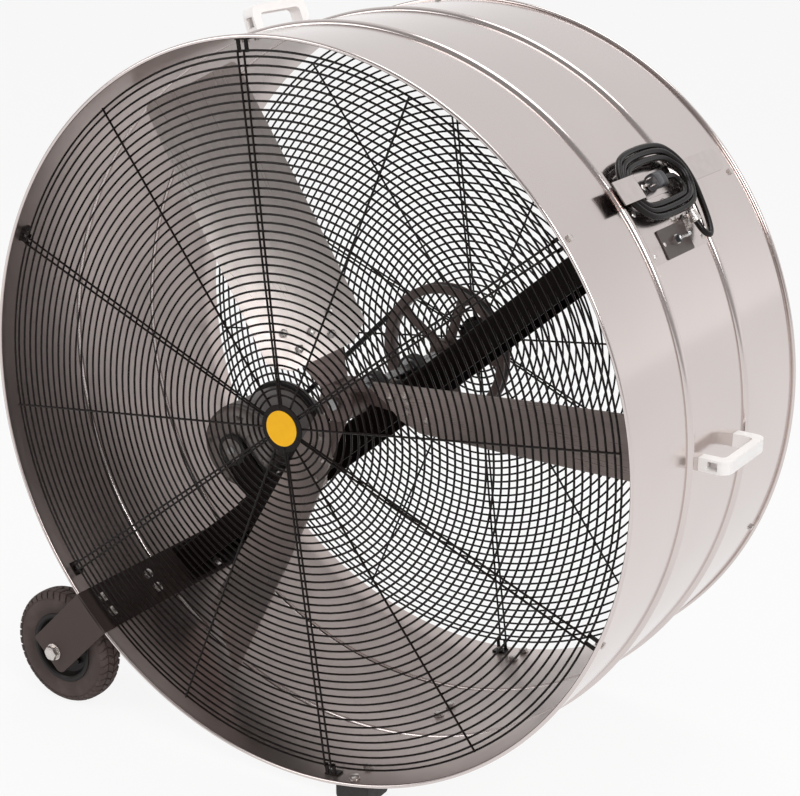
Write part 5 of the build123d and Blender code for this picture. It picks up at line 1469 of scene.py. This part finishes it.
    def axle(self):
        """Axle with a washer and a hexagon outside each ear and inside each wheel."""
        rod = Shape()
        radius = 0.008
        past = 0.0126
        rod.lathe(axial(AXLE), [(0, -past), (radius, -past), (radius, DEPTH + past), (0, DEPTH + past)], 40)
        piece("axle_bar", rod, "zinc_fastener", replaces=("axle_rod",))
        ends = Shape()
        for y, back in ((0.0, 1), (DEPTH, -1)):
            out = axes(AXLE + Vector((0, y, 0)), X, -Y * back)
            ends.washer(out, 0.016, 0.0052, 0.0077)
            ends.hexagon(out, 0.024, 0.010, 0.0077)
            inward = axes(AXLE + Vector((0, y, 0)), X, Y * back)
            ends.washer(inward, 0.014, 0.0001, 0.0057)
            ends.washer(inward, 0.016, 0.0663, 0.0683)
            ends.hexagon(inward, 0.024, 0.009, 0.0683)
        piece("axle_ends", ends, "zinc_fastener", replaces=("axle_fasteners",))


class FAN_OT_feet(Operator):
    """Add the moulded rubber feet and their bolts"""

    bl_idname = "fan.feet"
    bl_label = "Feet"

    def execute(self, context):
        shape = Shape()
        bolts = Shape()
        x = DRUM_RADIUS * math.cos(math.radians(FOOT_DEG))
        floor = -AXIS.z
        half = 0.033
        tread = 0.031
        seat = DRUM_RADIUS + 0.0001
        across = [x + half - 2 * half * k / 10 for k in range(11)]
        for y in (0.039, MIDDLE, DEPTH - 0.039):
            outline = [(px, -math.sqrt(seat ** 2 - px ** 2)) for px in across]
            outline += [(x - half, floor + 0.006), (x - tread, floor), (x + tread, floor),
                        (x + half, floor + 0.006)]
            shape.prism(side_on(Matrix()), outline, -y - tread, -y + tread)
            for side in (-1, 1):
                place = in_wall(FOOT_DEG, y + side * 0.020)
                bolts.washer(place, 0.0096, 0.0003, 0.0020)
                bolts.hexagon(place, 0.0136, 0.0052, 0.0020)
        piece("rubber_feet", shape, "rubber", replaces=("feet",), bevel=0.003)
        piece("foot_fasteners", bolts, "zinc_fastener", replaces=("foot_bolts",))
        return {"FINISHED"}


class FAN_OT_switch(Operator):
    """Finish the hook strap, the switch plates and the toggle switch"""

    bl_idname = "fan.switch"
    bl_label = "Switch and strap"

    def execute(self, context):
        dress("galvanised", "cord_hook_strap", "switch_mounting_plate")
        dress("switch_plate", "switch_cover_plate")
        dress("black_steel", "switch_box")
        dress("switch_plastic", "switch_body")
        dress("zinc_fastener", "switch_nut", "panel_screws")
        dress("lever", "switch_lever")
        return {"FINISHED"}


class FAN_PT_panel(Panel):
    """Sizes and colours of the fan and the buttons that add its pieces"""

    bl_idname = "FAN_PT_panel"
    bl_label = "Drum Fan"
    bl_space_type = "VIEW_3D"
    bl_region_type = "UI"
    bl_category = "Drum Fan"

    def draw(self, context):
        layout = self.layout
        for operator in OPERATORS:
            layout.operator(operator.bl_idname, text=operator.bl_label)
        for store, _ in STORES:
            box = layout.box()
            group = getattr(context.scene, store)
            for key in group.bl_rna.properties.keys():
                if key not in ("rna_type", "name"):
                    box.prop(group, key)


OPERATORS = (FAN_OT_stage, FAN_OT_cord, FAN_OT_drum, FAN_OT_guards, FAN_OT_handles, FAN_OT_channel,
             FAN_OT_fan, FAN_OT_drive, FAN_OT_motor, FAN_OT_wheels, FAN_OT_feet, FAN_OT_switch)
STORES = (("fan_drum", DrumSizes), ("fan_guard", GuardSizes), ("fan_blade", BladeSizes),
          ("fan_wheel", WheelSizes), ("fan_cord", CordSizes), ("fan_colours", FanColours))


def register():
    for store, group in STORES:
        bpy.utils.register_class(group)
        setattr(bpy.types.Scene, store, PointerProperty(type=group))
    for operator in OPERATORS:
        bpy.utils.register_class(operator)
    bpy.utils.register_class(FAN_PT_panel)


def unregister():
    bpy.utils.unregister_class(FAN_PT_panel)
    for operator in reversed(OPERATORS):
        bpy.utils.unregister_class(operator)
    for store, group in reversed(STORES):
        delattr(bpy.types.Scene, store)
        bpy.utils.unregister_class(group)


def main():
    register()
    bpy.ops.fan.stage()
    bpy.ops.fan.cord()
    bpy.ops.fan.drum()
    bpy.ops.fan.guards()
    bpy.ops.fan.handles()
    bpy.ops.fan.channel()
    bpy.ops.fan.fan()
    bpy.ops.fan.drive()
    bpy.ops.fan.motor()
    bpy.ops.fan.wheels()
    bpy.ops.fan.feet()
    bpy.ops.fan.switch()


if __name__ == "__main__":
    main()
